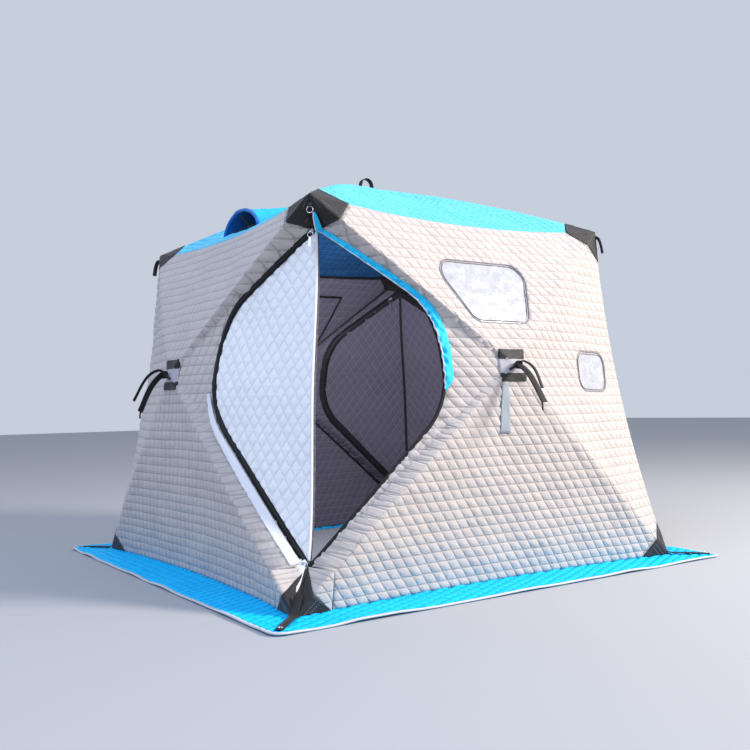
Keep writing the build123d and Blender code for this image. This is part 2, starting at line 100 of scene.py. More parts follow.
# Quilting: rows of stitches this far apart, and how far the wadding puffs out between them
quilt_spacing = 0.040
outer_puff = 0.0050
roof_puff = 0.0042
door_puff = 0.0048
skirt_puff = 0.0055
lining_puff = 0.0022
door_lining_puff = 0.0030
mesh_steps = 4
seam_fade = 0.016
puff_shape = 0.42
# A cell's own fullness is the fraction of a large sine of its place
hash_ways = np.array((12.9898, 78.233))
hash_scale = 43758.5453

# Uneven cloth: waves as (size across, seed, height), and how far from a seam they reach
# their full height
slack_waves = ((0.30, 5, 0.0035), (0.11, 7, 0.0013))
film_waves = ((0.07, 61, 0.0014), (0.024, 62, 0.0005))
pucker_size, pucker_height, pucker_reach = 0.055, 0.0026, 0.07
crumple_size, crumple_height = 0.022, 0.0007
slack_fade = 0.05
film_fade = 0.02

up = np.array((0.0, 0.0, 1.0))


def unit(vector):
    """The vector at length 1, or each row of a table of vectors."""
    vector = np.asarray(vector, float)
    return vector / np.linalg.norm(vector, axis=-1, keepdims=True)


def outward(a, b, c):
    """Unit normal of the plane through three points, pointing out of the cabin."""
    normal = unit(np.cross(b - a, c - a))
    return normal if normal @ (a - up * corner_height / 2) > 0 else -normal


def across_door(point):
    """The point mirrored across the upright plane through the door corners."""
    return np.array((point[1], point[0], point[2]))


def across_end(point):
    """The same, for the plane through the other two corners."""
    return np.array((-point[1], -point[0], point[2]))


def arc(start, middle, end):
    """The arc through three points, as a function of how far along it a point is."""
    a, b, c = (np.asarray(point, float) for point in (start, middle, end))
    ab, ac = b - a, c - a
    normal = np.cross(ab, ac)
    centre = a + (np.cross(normal, ab) * (ac @ ac) + np.cross(ac, normal) * (ab @ ab)) / (
        2 * normal @ normal
    )
    radius = np.linalg.norm(a - centre)
    along = (a - centre) / radius
    beside = np.cross(unit(normal), along)
    turn = math.atan2((c - centre) @ beside, (c - centre) @ along) % (2 * math.pi)

    def at(t):
        angle = np.atleast_1d(t)[:, None] * turn
        return centre + radius * (np.cos(angle) * along + np.sin(angle) * beside)

    return at


def smooth_line(points, tangents):
    """The curve through points with these directions, as a function of how far along it is."""
    points = np.array(points, float)
    tangents = unit(tangents)
    lengths = np.linalg.norm(np.diff(points, axis=0), axis=1)
    knots = np.concatenate(([0], np.cumsum(lengths)))

    def at(t):
        place = np.atleast_1d(t) * knots[-1]
        span = np.clip(np.searchsorted(knots, place, side="right") - 1, 0, len(lengths) - 1)
        length = lengths[span][:, None]
        s = ((place - knots[span]) / lengths[span])[:, None]
        return (
            (2 * s**3 - 3 * s**2 + 1) * points[span]
            + (s**3 - 2 * s**2 + s) * length * tangents[span]
            + (3 * s**2 - 2 * s**3) * points[span + 1]
            + (s**3 - s**2) * length * tangents[span + 1]
        )

    return at


# Corners of the front wall, its hub and the roof's hub
wall_hub = np.array((0.0, -wall_hub_out, wall_hub_height))
roof_hub = np.array((0.0, 0.0, roof_peak))
door_top_tip = np.array((-top_half, -top_half, corner_height))
door_foot_tip = np.array((-base_half, -base_half, skirt_thickness))
end_top_tip = np.array((top_half, -top_half, corner_height))
end_foot_tip = np.array((base_half, -base_half, skirt_thickness))
fold_top = np.array((-door_top[0], -door_top[0], door_top[1]))
fold_foot = np.array((-door_foot[0], -door_foot[0], door_foot[1]))

top_normal = outward(wall_hub, door_top_tip, end_top_tip)
foot_normal = outward(wall_hub, door_foot_tip, end_foot_tip)
door_top_normal = outward(wall_hub, door_top_tip, fold_top)
door_foot_normal = outward(wall_hub, door_foot_tip, fold_foot)
end_normal = outward(wall_hub, end_top_tip, end_foot_tip)
roof_normal = outward(roof_hub, door_top_tip, end_top_tip)


def ridge(hub, tip, first_side, second_side, bow):
    """The line from a hub to a corner, bowed out by its pole."""
    return arc(hub, (hub + tip) / 2 + unit(first_side + second_side) * bow, tip)


door_top_ridge = ridge(wall_hub, door_top_tip, top_normal, door_top_normal, wall_pole_bow)
end_top_ridge = ridge(wall_hub, end_top_tip, top_normal, end_normal, wall_pole_bow)
door_foot_ridge = ridge(wall_hub, door_foot_tip, foot_normal, door_foot_normal, wall_pole_bow)
end_foot_ridge = ridge(wall_hub, end_foot_tip, foot_normal, end_normal, wall_pole_bow)
roof_door_ridge = ridge(roof_hub, door_top_tip, roof_normal, across_door(roof_normal), roof_pole_bow)
roof_end_ridge = ridge(roof_hub, end_top_tip, roof_normal, across_end(roof_normal), roof_pole_bow)
top_seam = arc(door_top_tip, (0, -top_half + top_seam_in, corner_height - top_seam_drop), end_top_tip)
foot_seam = arc(door_foot_tip, (0, -base_half + foot_seam_in, skirt_thickness), end_foot_tip)
end_seam = arc(
    end_top_tip,
    (end_top_tip + end_foot_tip) / 2 + np.array((-end_seam_in, end_seam_in, 0)),
    end_foot_tip,
)
fold_way = unit(fold_foot - fold_top)
from_tip = unit(fold_top - door_top_tip)
to_tip = unit(door_foot_tip - fold_foot)
door_seam = smooth_line(
    [door_top_tip, fold_top, (fold_top + fold_foot) / 2, fold_foot, door_foot_tip],
    [from_tip, from_tip + fold_way * fold_pull, fold_way, to_tip + fold_way * fold_pull, to_tip],
)
line_steps = np.linspace(0, 1, 121)


def gore_grid(first, rim, second):
    """Points of a gore stretched between two pole lines and a seam, row by row."""
    u = line_steps[None, :, None]
    v = line_steps[:, None, None]
    a, b, r = (line(line_steps) for line in (first, second, rim))
    sides = (1 - u) * a[:, None] + u * b[:, None]
    rims = (1 - v) * a[0] + v * r[None, :]
    corners = (1 - v) * a[0] + v * ((1 - u) * a[-1] + u * b[-1])
    return sides + rims - corners


def grid_faces(rows, columns, start=0):
    """Quads between the rows and columns of a grid of points."""
    index = np.arange(rows * columns).reshape(rows, columns) + start
    return np.stack(
        [index[:-1, :-1], index[:-1, 1:], index[1:, 1:], index[1:, :-1]], axis=-1
    ).reshape(-1, 4)


def surface_tree(grids):
    """A searchable surface made of grids of points."""
    points, faces = [], []
    for grid in grids:
        faces.append(grid_faces(*grid.shape[:2], start=sum(len(part) for part in points)))
        points.append(grid.reshape(-1, 3))
    return BVHTree.FromPolygons(np.concatenate(points).tolist(), np.concatenate(faces).tolist())


wall_surface = surface_tree(
    [
        gore_grid(door_top_ridge, top_seam, end_top_ridge),
        gore_grid(door_foot_ridge, foot_seam, end_foot_ridge),
        gore_grid(door_top_ridge, door_seam, door_foot_ridge),
        gore_grid(end_top_ridge, end_seam, end_foot_ridge),
    ]
)
quarter_turn = np.array(((0.0, -1.0, 0.0), (1.0, 0.0, 0.0), (0.0, 0.0, 1.0)))


def four_turns(points):
    """Points and their copies at the other three quarter turns about the middle."""
    return [points @ np.linalg.matrix_power(quarter_turn, turn).T for turn in range(4)]


roof_surface = surface_tree(four_turns(gore_grid(roof_door_ridge, top_seam, roof_end_ridge)))


def onto(surface, starts, way):
    """Where rays from the starts meet a surface, or its nearest point for one that misses,
    and the surface's outward normals there."""
    places = np.empty((len(starts), 3))
    normals = np.empty((len(starts), 3))
    for number, start in enumerate(starts):
        place, normal = surface.ray_cast(start, way)[:2]
        if place is None:
            below = [s + w * 1.2 * base_half for s, w in zip(start, way)]
            place, normal = surface.find_nearest(below)[:2]
        places[number] = place
        normals[number] = -normal if normal.dot(way) > 0 else normal
    return places, normals


def onto_wall(flat):
    """Points and normals of the front wall for points seen from the front, as (x, z)."""
    return onto(wall_surface, [(x, -2 * base_half, z) for x, z in flat], (0, 1, 0))


def onto_roof(flat):
    """Points and normals of the roof for points seen from above, as (x, y)."""
    return onto(roof_surface, [(x, y, 2 * roof_peak) for x, y in flat], (0, 0, -1))


def fillet_path(corners, radius, closed=False, step=0.009):
    """Points along straight runs with rounded corners."""
    corners = [np.array(corner, float) for corner in corners]
    count = len(corners)
    path = []
    for number, corner in enumerate(corners):
        if not closed and number in (0, count - 1):
            path.append(corner[None])
            continue
        back = unit(corners[number - 1] - corner)
        ahead = unit(corners[(number + 1) % count] - corner)
        half = math.acos(np.clip(back @ ahead, -1, 1)) / 2
        reach = radius / math.tan(half)
        centre = corner + unit(back + ahead) * radius / math.sin(half)
        spoke = (corner + back * reach - centre) / radius
        other = (corner + ahead * reach - centre) / radius
        turn = math.acos(np.clip(spoke @ other, -1, 1))
        t = np.linspace(0, 1, max(3, int(radius * turn / step)))[:, None]
        path.append(
            centre
            + radius * (np.sin((1 - t) * turn) * spoke + np.sin(t * turn) * other) / math.sin(turn)
        )
    path = np.concatenate(path)
    if closed:
        path = np.concatenate((path, path[:1]))
    return spaced(path, step)


def spaced(path, step):
    """The path again with points about one step apart."""
    path = np.asarray(path, float)
    lengths = np.concatenate(([0], np.cumsum(np.linalg.norm(np.diff(path, axis=0), axis=1))))
    places = np.linspace(0, lengths[-1], max(2, round(lengths[-1] / step) + 1))
    return np.stack([np.interp(places, lengths, path[:, axis]) for axis in range(path.shape[1])], 1)


def inside_outline(points, outline):
    """Whether each flat point lies inside a closed outline."""
    points, outline = np.asarray(points), np.asarray(outline)
    inside = np.zeros(len(points), bool)
    for (ax, ay), (bx, by) in zip(outline, np.roll(outline, -1, axis=0)):
        if ay != by:
            level = (points[:, 1] - ay) / (by - ay)
            crossing = (ay > points[:, 1]) != (by > points[:, 1])
            inside ^= crossing & (points[:, 0] < ax + level * (bx - ax))
    return inside


def distance_to(points, paths):
    """How far each flat point lies from the nearest of some paths."""
    marks = np.concatenate([spaced(path, 0.0025) for path in paths])
    tree = KDTree(len(marks))
    for number, (x, y) in enumerate(marks.tolist()):
        tree.insert((x, y, 0), number)
    tree.balance()
    return np.array([tree.find((x, y, 0))[2] for x, y in points.tolist()])


def ripple(points, size, seed, count=28):
    """Smooth random bumps of about this size at points, mostly from -1 to 1."""
    chance = np.random.default_rng(seed)
    waves = unit(chance.normal(size=(count, points.shape[1])))
    waves *= 2 * math.pi / size * chance.uniform(0.55, 1.5, size=(count, 1))
    return np.sin(points @ waves.T + chance.uniform(0, 7, count)).sum(axis=1) / math.sqrt(count)


def ripples(points, waves):
    """The sum of several ripples, each given as (size, seed, height)."""
    return sum(ripple(points, size, seed) * height for size, seed, height in waves)


class Quilt:
    """A cloth cut flat, meshed along its quilting, and stretched onto a surface."""

    def __init__(self, border, lines, openings, row_angle, cross_angle, lift):
        """border is the cut's outline, lines what the mesh has to follow, openings what is kept
        apart by name, and the angles those of the two sets of stitched rows, in degrees."""
        first, second = (
            np.array((math.cos(math.radians(angle)), math.sin(math.radians(angle))))
            for angle in (row_angle, cross_angle)
        )
        side = quilt_spacing / abs(first[0] * second[1] - first[1] * second[0])
        cell = np.stack((first * side, second * side))
        reach = np.abs(border).max() * 2
        count = int(mesh_steps * 2 * reach / quilt_spacing)
        steps = np.arange(-count, count + 1) / mesh_steps
        lattice = np.stack(np.meshgrid(steps, steps), -1).reshape(-1, 2) @ cell
        lowest, highest = border.min(axis=0), border.max(axis=0)
        lattice = lattice[((lattice > lowest) & (lattice < highest)).all(axis=1)]
        lattice = lattice[inside_outline(lattice, border)]
        paths = [np.concatenate((border, border[:1])), *lines]
        lattice = lattice[distance_to(lattice, paths) > 0.45 * quilt_spacing / mesh_steps]
        points, edges = [], []
        for path in paths:
            start = sum(len(part) for part in points)
            points.append(path)
            edges += [(start + k, start + k + 1) for k in range(len(path) - 1)]
        points.append(lattice)
        flat, _, faces, *_ = delaunay_2d_cdt(np.concatenate(points).tolist(), edges, [], 0, 1e-5)
        self.flat = np.array([tuple(point) for point in flat])
        faces = np.array([face for face in faces if len(face) == 3])
        middles = self.flat[faces].mean(axis=1)
        faces = faces[inside_outline(middles, border)]
        middles = self.flat[faces].mean(axis=1)
        self.parts = {}
        rest = np.ones(len(faces), bool)
        for name, outline in openings.items():
            chosen = inside_outline(middles, outline) & rest
            self.parts[name] = faces[chosen]
            rest &= ~chosen
        self.parts["rest"] = faces[rest]
        self.points = lift(self.flat)[0]
        self.cell = np.linalg.inv(cell)
        self.seams = paths
        self.from_seam = distance_to(self.flat, paths)
        self.fade = np.clip(self.from_seam / seam_fade, 0, 1)
        corner = [self.points[faces[:, k]] for k in range(3)]
        face_normals = np.cross(corner[1] - corner[0], corner[2] - corner[0])
        normals = np.zeros_like(self.points)
        for k in range(3):
            np.add.at(normals, faces[:, k], face_normals)
        self.normals = unit(np.where(np.abs(normals).sum(axis=1, keepdims=True) > 0, normals, up))

    def off(self, distance):
        """The cloth's points moved this far off the surface, outwards."""
        return self.points + self.normals * np.reshape(distance, (-1, 1))

    def quilting(self):
        """Each point's place counted in stitched cells."""
        return self.flat @ self.cell

    def puff(self, seed):
        """How far the wadding stands out at each point, from 0 at a stitch or seam to 1."""
        place = self.quilting()
        hollow = np.abs(np.sin(np.pi * place)).prod(axis=1) ** puff_shape
        cell_number = np.floor(place + 1e-6)
        chance = np.sin(cell_number @ hash_ways + seed) * hash_scale
        fullness = 0.8 + 0.4 * (chance - np.floor(chance))
        return hollow * fullness * self.fade * self.fade * (3 - 2 * self.fade)


def hex_colour(code, alpha=1.0):
    """A colour written as sRGB hex, as the linear values that a shader takes."""
    values = [int(code[k : k + 2], 16) / 255 for k in (1, 3, 5)]
    return (*(v / 12.92 if v <= 0.04045 else ((v + 0.055) / 1.055) ** 2.4 for v in values), alpha)


def add_node(tree, kind, settings=(), inputs=(), links=()):
    """Add a node to a tree, set it, and link its inputs to other nodes' outputs."""
    node = tree.nodes.new(kind)
    for name, value in dict(settings).items():
        setattr(node, name, value)
    for name, value in dict(inputs).items():
        node.inputs[name].default_value = value
    for name, output in dict(links).items():
        tree.links.new(output, node.inputs[name])
    return node


def new_material(name, colour, roughness, sockets=()):
    """A material with plain values set on its shader's sockets, its tree and its shader."""
    material = bpy.data.materials.new(name)
    material.use_nodes = True
    tree = material.node_tree
    surface = tree.nodes["Principled BSDF"]
    plain = {"Base Color": hex_colour(colour), "Roughness": roughness, **dict(sockets)}
    for socket, value in plain.items():
        surface.inputs[socket].default_value = value
    material.diffuse_color = hex_colour(colour)
    return material, tree, surface


# Threads are 0.5 mm apart on the real cloth; drawn this far apart so that the grain shows
weave = 0.0035


def stitched_cloth(name, colour, thread_and_crease_shade, shade, stitch_width, roughness=0.8, sheen=0.2):
    """Quilted cloth: stitch rows every cell, uneven shade, a plain weave; rows paler than the cloth are
    thread, darker ones painted crease shade.
    """
    sockets = {"Sheen Weight": sheen, "Sheen Roughness": 0.5, "Specular IOR Level": 0.22}
    material, tree, surface = new_material(name, colour, roughness, sockets)
    quilt_map = add_node(tree, "ShaderNodeUVMap", {"uv_map": "quilt"})
    parts = add_node(tree, "ShaderNodeSeparateXYZ", links={"Vector": quilt_map.outputs["UV"]})
    rows = [
        add_node(
            tree, "ShaderNodeMath", {"operation": "PINGPONG"}, {1: 0.5}, {0: parts.outputs[axis]}
        ).outputs[0]
        for axis in ("X", "Y")
    ]
    nearest = add_node(tree, "ShaderNodeMath", {"operation": "MINIMUM"}, links={0: rows[0], 1: rows[1]})
    stitch = add_node(
        tree,
        "ShaderNodeMapRange",
        {"interpolation_type": "SMOOTHSTEP"},
        {
            "From Min": stitch_width / quilt_spacing,
            "From Max": 2.4 * stitch_width / quilt_spacing,
            "To Min": 1.0,
            "To Max": 0.0,
        },
        {"Value": nearest.outputs[0]},
    )
    place = add_node(tree, "ShaderNodeTexCoord").outputs["Object"]
    stain, threads, puckers = (
        add_node(
            tree, "ShaderNodeTexNoise",
            inputs={"Scale": scale, "Detail": detail, "Roughness": rough}, links={"Vector": place},
        )
        for scale, detail, rough in ((4.5, 5.0, 0.6), (1 / weave, 3.0, 0.7), (55.0, 3.0, 0.55))
    )
    shaded = add_node(
        tree, "ShaderNodeMix", {"data_type": "RGBA"}, {6: hex_colour(colour), 7: hex_colour(shade)},
        {0: stain.outputs["Fac"]},
    )
    # Stitch rows: paler thread on the linings, painted crease shade on the outer cloths where their
    # colour is darker
    threaded = add_node(
        tree, "ShaderNodeMix", {"data_type": "RGBA"}, {7: hex_colour(thread_and_crease_shade)},
        {0: stitch.outputs["Result"], 6: shaded.outputs[2]},
    )
    tree.links.new(threaded.outputs[2], surface.inputs["Base Color"])
    height = add_node(
        tree, "ShaderNodeMath", {"operation": "MULTIPLY_ADD"}, {1: 3.0},
        {0: puckers.outputs["Fac"], 2: threads.outputs["Fac"]},
    )
    crease = add_node(
        tree, "ShaderNodeMapRange", {"interpolation_type": "SMOOTHSTEP"},
        {"From Min": 0.0, "From Max": 0.16, "To Min": 0.0, "To Max": 2.2},
        {"Value": nearest.outputs[0]},
    )
    relief = add_node(
        tree, "ShaderNodeMath", {"operation": "ADD"},
        links={0: height.outputs[0], 1: crease.outputs["Result"]},
    )
    bump = add_node(
        tree, "ShaderNodeBump", inputs={"Strength": 0.5, "Distance": 0.0022},
        links={"Height": relief.outputs[0]},
    )
    tree.links.new(bump.outputs["Normal"], surface.inputs["Normal"])
    return material


def woven(name, colour, dark, rib, roughness=0.7, sheen=0.2):
    """Plain woven cloth or webbing: ribs of threads and a slightly uneven colour."""
    sockets = {"Sheen Weight": sheen, "Specular IOR Level": 0.35}
    material, tree, surface = new_material(name, colour, roughness, sockets)
    place = add_node(tree, "ShaderNodeTexCoord")
    ribs = add_node(
        tree, "ShaderNodeTexVoronoi", {"feature": "F1"}, {"Scale": 1 / rib, "Randomness": 0.6},
        {"Vector": place.outputs["Object"]},
    )
    blotch = add_node(
        tree, "ShaderNodeTexNoise", inputs={"Scale": 22.0, "Detail": 6.0, "Roughness": 0.65},
        links={"Vector": place.outputs["Object"]},
    )
    shaded = add_node(
        tree, "ShaderNodeMix", {"data_type": "RGBA"}, {6: hex_colour(colour), 7: hex_colour(dark)},
        {0: blotch.outputs["Fac"]},
    )
    tree.links.new(shaded.outputs[2], surface.inputs["Base Color"])
    height = add_node(
        tree, "ShaderNodeMath", {"operation": "MULTIPLY_ADD"}, {1: 2.0},
        {0: blotch.outputs["Fac"], 2: ribs.outputs["Distance"]},
    )
    bump = add_node(
        tree, "ShaderNodeBump", inputs={"Strength": 0.5, "Distance": 0.0016},
        links={"Height": height.outputs[0]},
    )
    tree.links.new(bump.outputs["Normal"], surface.inputs["Normal"])
    return material


def moulded(name, colour, roughness, grain):
    """Smooth moulded plastic or resin with a faint grain."""
    material, tree, surface = new_material(name, colour, roughness, {"IOR": 1.5})
    place = add_node(tree, "ShaderNodeTexCoord")
    speckle = add_node(
        tree, "ShaderNodeTexNoise", inputs={"Scale": 1 / grain, "Detail": 4.0, "Roughness": 0.6},
        links={"Vector": place.outputs["Object"]},
    )
    rough = add_node(
        tree, "ShaderNodeMapRange", inputs={"To Min": roughness - 0.08, "To Max": roughness + 0.12},
        links={"Value": speckle.outputs["Fac"]},
    )
    tree.links.new(rough.outputs["Result"], surface.inputs["Roughness"])
    bump = add_node(
        tree, "ShaderNodeBump", inputs={"Strength": 0.25, "Distance": 0.0006},
        links={"Height": speckle.outputs["Fac"]},
    )
    tree.links.new(bump.outputs["Normal"], surface.inputs["Normal"])
    return material


# Polyester oxford, quilted on wadding: matt, silvery grey, with painted crease shade darker along the
# stitches
wall_cloth = stitched_cloth("quilted_grey_oxford", "#C4BDB9", "#A6A09D", "#B2ACA9", 0.0011)
# The same cloth in white, as the two door halves are cut from, with painted crease shade along the
# stitches
door_cloth = stitched_cloth("quilted_white_oxford", "#EDEFF0", "#DBDFE3", "#E0E3E6", 0.0012)
# Brushed polyester lining, dark violet grey, with paler thread
lining_cloth = stitched_cloth("quilted_dark_lining", "#635F6B", "#6B6873", "#56525E", 0.0013, 0.9)
# Blue oxford of the roof, a little glossy from its coating; roof and skirt are darker along the stitches
# with painted crease shade
roof_cloth = stitched_cloth("quilted_blue_oxford", "#74D0E8", "#3CA6D0", "#54BEE0", 0.0013, 0.6, 0.0)
roof_lining = stitched_cloth("dark_blue_roof_lining", "#235480", "#285A86", "#1B4870", 0.0010, 0.85, 0.0)
skirt_cloth = stitched_cloth("quilted_blue_skirt", "#04CAFF", "#0092DC", "#00B2F4", 0.0014, 0.62, 0.0)
flap_cloth = woven("blue_flap_cloth", "#20D2FA", "#00ACE8", 0.003, 0.6, 0.0)
hood_lining = woven("dark_blue_hood_lining", "#1370B8", "#0E5A98", 0.003, 0.8, 0.0)
pale_binding = woven("pale_bias_binding", "#E4E6EA", "#D2D6DC", 0.003, 0.75)
grey_binding = woven("grey_bias_binding", "#CFCDCE", "#B9B7B9", 0.003, 0.75)
pocket_cloth = woven("black_ripstop_pocket", "#262425", "#1A1819", 0.0045, 0.62, 0.12)
webbing = woven("black_nylon_webbing", "#121214", "#0B0B0D", 0.0025, 0.6, 0.08)
zip_tape = woven("black_zip_tape", "#0F0F11", "#09090B", 0.003, 0.65, 0.05)
reflective_tape = woven("silver_grey_tape", "#98A4AE", "#86929C", 0.003, 0.5)
thread = woven("grey_thread", "#8F8B8C", "#7C787A", 0.002, 0.7)
# Plain, unquilted cloths
plain_grey = woven("plain_grey_cloth", "#B4B1BA", "#A09DA7", 0.003, 0.75)
roof_plain = woven("plain_blue_oxford", "#28C4EC", "#08A0DC", 0.003, 0.6, 0.0)
blue_binding = woven("dark_blue_binding", "#0C78D0", "#0862B0", 0.003, 0.65)
window_stitch = woven("dark_grey_thread", "#8A868C", "#747076", 0.002, 0.7)
# Injection-moulded nylon hubs and boots, and pultruded fibreglass poles
nylon = moulded("black_moulded_nylon", "#17171A", 0.45, 0.004)
fibreglass = moulded("black_fibreglass", "#101012", 0.32, 0.002)
zip_coil = moulded("black_zip_coil", "#1D1D20", 0.35, 0.002)
# Zinc-alloy slider, nickel plated
slider_metal, _, _ = new_material("nickel_plated_zinc", "#B9BBBE", 0.28, {"Metallic": 1.0})
# Soft clear vinyl film with a gloss; its pale colour is painted daylight behind it, and darker patches
# along its creases are painted shade
film, film_tree, film_surface = new_material("vinyl_film_painted_light_and_shade", "#BEC1C6", 0.26, {"IOR": 1.45})
film_place = add_node(film_tree, "ShaderNodeTexCoord")
film_creases = add_node(
    film_tree, "ShaderNodeTexNoise",
    inputs={"Scale": 26.0, "Detail": 4.0, "Roughness": 0.6, "Distortion": 1.2},
    links={"Vector": film_place.outputs["Object"]},
)
film_bump = add_node(
    film_tree, "ShaderNodeBump", inputs={"Strength": 0.5, "Distance": 0.004},
    links={"Height": film_creases.outputs["Fac"]},
)
film_tree.links.new(film_bump.outputs["Normal"], film_surface.inputs["Normal"])
# Painted light and shade: the pale colour stands for daylight behind the clear film, the darker one is
# painted shade along the creases
film_light_and_crease_shade = add_node(
    film_tree, "ShaderNodeMix", {"data_type": "RGBA"},
    {6: hex_colour("#C6C9CE"), 7: hex_colour("#868A94")}, {0: film_creases.outputs["Fac"]},
)
film_tree.links.new(film_light_and_crease_shade.outputs[2], film_surface.inputs["Base Color"])


def piece(name, points, faces, materials, face_materials=None, uv=None, smooth=True):
    """A mesh object from points and faces, with its materials and its quilt map."""
    mesh = bpy.data.meshes.new(name)
    mesh.from_pydata(
        np.asarray(points).tolist(), [], faces if isinstance(faces, list) else faces.tolist()
    )
    for material in materials:
        mesh.materials.append(material)
    if face_materials is not None:
        mesh.polygons.foreach_set("material_index", np.asarray(face_materials, np.int32))
    mesh.polygons.foreach_set("use_smooth", np.full(len(mesh.polygons), smooth))
    if uv is not None:
        corners = np.empty(len(mesh.loops), np.int32)
        mesh.loops.foreach_get("vertex_index", corners)
        layer = mesh.uv_layers.new(name="quilt")
        layer.data.foreach_set("uv", np.asarray(uv)[corners].astype(np.float32).ravel())
    mesh.update()
    made = bpy.data.objects.new(name, mesh)
    bpy.context.scene.collection.objects.link(made)
    return made


def border_edges(faces):
    """The directed edges that only one face of a patch has."""
    edges = np.concatenate([faces[:, (0, 1)], faces[:, (1, 2)], faces[:, (2, 0)]])
    size = edges.max() + 1
    codes = edges[:, 0] * size + edges[:, 1]
    return edges[~np.isin(codes, edges[:, 1] * size + edges[:, 0])]


def closed_sheet(faces, outer, inner, uv):
    """A sheet between an outer and an inner skin that have the same faces."""
    used = np.unique(faces)
    renumber = np.zeros(used.max() + 1, int)
    renumber[used] = np.arange(len(used))
    front = renumber[faces]
    count = len(used)
    points = np.concatenate((outer[used], inner[used]))
    rim = border_edges(front)
    sides = np.stack((rim[:, 1], rim[:, 0], rim[:, 0] + count, rim[:, 1] + count), axis=1)
    all_faces = [*front.tolist(), *(front[:, ::-1] + count).tolist(), *sides.tolist()]
    numbers = [0] * len(front) + [1] * len(front) + [0] * len(sides)
    return points, all_faces, numbers, np.concatenate((uv[used], uv[used]))


# The four walls: order and signs that place the front wall's points, and if that mirrors them
walls = {
    "front": ((0, 1, 2), (1, 1, 1), False),
    "left": ((1, 0, 2), (1, 1, 1), True),
    "back": ((0, 1, 2), (-1, -1, 1), False),
    "right": ((1, 0, 2), (-1, -1, 1), True),
}
all_walls = list(walls)
window_walls = ["front", "back"]


def on_wall(points, wall):
    """The front wall's points, moved to one of the walls."""
    order, signs, _ = walls[wall]
    return points[..., order] * np.array(signs, float)


def faced(faces, wall):
    """The front wall's faces, turned round on a wall that mirrors it."""
    return [face[::-1] for face in faces] if walls[wall][2] else faces


# Outlines on the front wall, seen from the front as (x, z)
door_corners = (
    (-door_top[0], door_top[1]),
    (-door_nose, door_nose_top),
    (-door_nose, door_nose_foot),
    (-door_foot[0], door_foot[1]),
)
door_line = fillet_path(door_corners, door_radius)
far = 2 * base_half
door_outline = np.concatenate((door_line, [(-far, door_foot[1]), (-far, door_top[1])]))
big_window = fillet_path(big_window_corners, big_window_radius, closed=True)
small_window = fillet_path(small_window_corners, small_window_radius, closed=True)
top_line, foot_line, end_line, fold_line, *ridge_lines = (
    line(line_steps)[:, (0, 2)]
    for line in (
        top_seam, foot_seam, end_seam, door_seam,
        door_top_ridge, end_top_ridge, door_foot_ridge, end_foot_ridge,
    )
)
wall_border = np.concatenate((top_line[:-1], end_line[:-1], foot_line[::-1][:-1], fold_line[::-1][:-1]))


def to_border(point):
    """The border point nearest to a flat point."""
    return wall_border[((wall_border - point) ** 2).sum(axis=1).argmin()]


def pocket_line(seam_point, corner_point, cap_point=None):
    """The edge of a corner pocket on the wall, ending on the wall's border."""
    path = [to_border(seam_point), np.array(corner_point)]
    if cap_point is None:
        path[-1] = to_border(corner_point)
    else:
        path.append(to_border(cap_point))
    return spaced(np.array(path), 0.01)


end_corner_way = unit(end_foot_tip - end_top_tip)
end_top_cap = (end_top_tip + end_corner_way * top_pocket_down)[[0, 2]]
end_foot_cap = (end_foot_tip - end_corner_way * foot_pocket_up)[[0, 2]]
pocket_lines = {
    "door_top_pocket": pocket_line(
        (-top_half + top_pocket_along, corner_height),
        (-door_top[0] + pocket_lap, door_top[1]),
        (-door_top[0], door_top[1]),
    ),
    "end_top_pocket": pocket_line((top_half - top_pocket_along, corner_height), end_top_cap),
    "door_foot_pocket": pocket_line(
        (-base_half + foot_pocket_along, skirt_thickness),
        (-door_foot[0] + pocket_lap, door_foot[1]),
        (-door_foot[0], door_foot[1]),
    ),
    "end_foot_pocket": pocket_line((base_half - foot_pocket_along, skirt_thickness), end_foot_cap),
}
pocket_outlines = {
    name: np.concatenate((pocket_lines[name], [(x * far, height), (x * far, z * far), (end, z * far)]))
    for name, x, z, height, end in (
        ("door_top_pocket", -1, 1, door_top[1], -top_half + top_pocket_along),
        ("end_top_pocket", 1, 1, end_top_cap[1], top_half - top_pocket_along),
        ("door_foot_pocket", -1, -1, door_foot[1], -base_half + foot_pocket_along),
        ("end_foot_pocket", 1, -1, end_foot_cap[1], base_half - foot_pocket_along),
    )
}
snapped_door_line = door_line.copy()
snapped_door_line[0] = to_border(door_line[0])
snapped_door_line[-1] = to_border(door_line[-1])


def wall_quilt(row_angle, cross_angle, windows):
    """The cloth of one wall, cut round its door half, pockets and windows."""
    openings = {**pocket_outlines, "door": door_outline}
    lines = [*ridge_lines, snapped_door_line, *pocket_lines.values()]
    if windows:
        openings = {"big_window": big_window, "small_window": small_window, **openings}
        lines += [big_window, small_window]
    return Quilt(wall_border, lines, openings, row_angle, cross_angle, onto_wall)


# Rows of stitches run level and slanting on the window walls, level and steep on the others
window_wall = wall_quilt(0, -52, True)
plain_wall = wall_quilt(0, -68, False)


def slack(places, from_seam):
    """Shallow waves of cloth that isn't drawn tight, for places this far from a seam."""
    waves = ripples(places, slack_waves)
    return waves * np.clip(from_seam / slack_fade, 0, 1) * np.clip(from_seam / seam_fade, 0, 1)


def puckers(quilt):
    """The cloth's slack, and the folds where the zip draws it up."""
    near_door = np.exp(-distance_to(quilt.flat, [door_line]) / pucker_reach)
    folds = ripple(quilt.points, pucker_size, 3) * pucker_height * near_door * quilt.fade
    return folds + slack(quilt.points, quilt.from_seam)


def wall_slack(flat, places):
    """The slack of the front wall's cloth at some places on it."""
    return slack(places, distance_to(np.asarray(flat), window_wall.seams))[:, None]


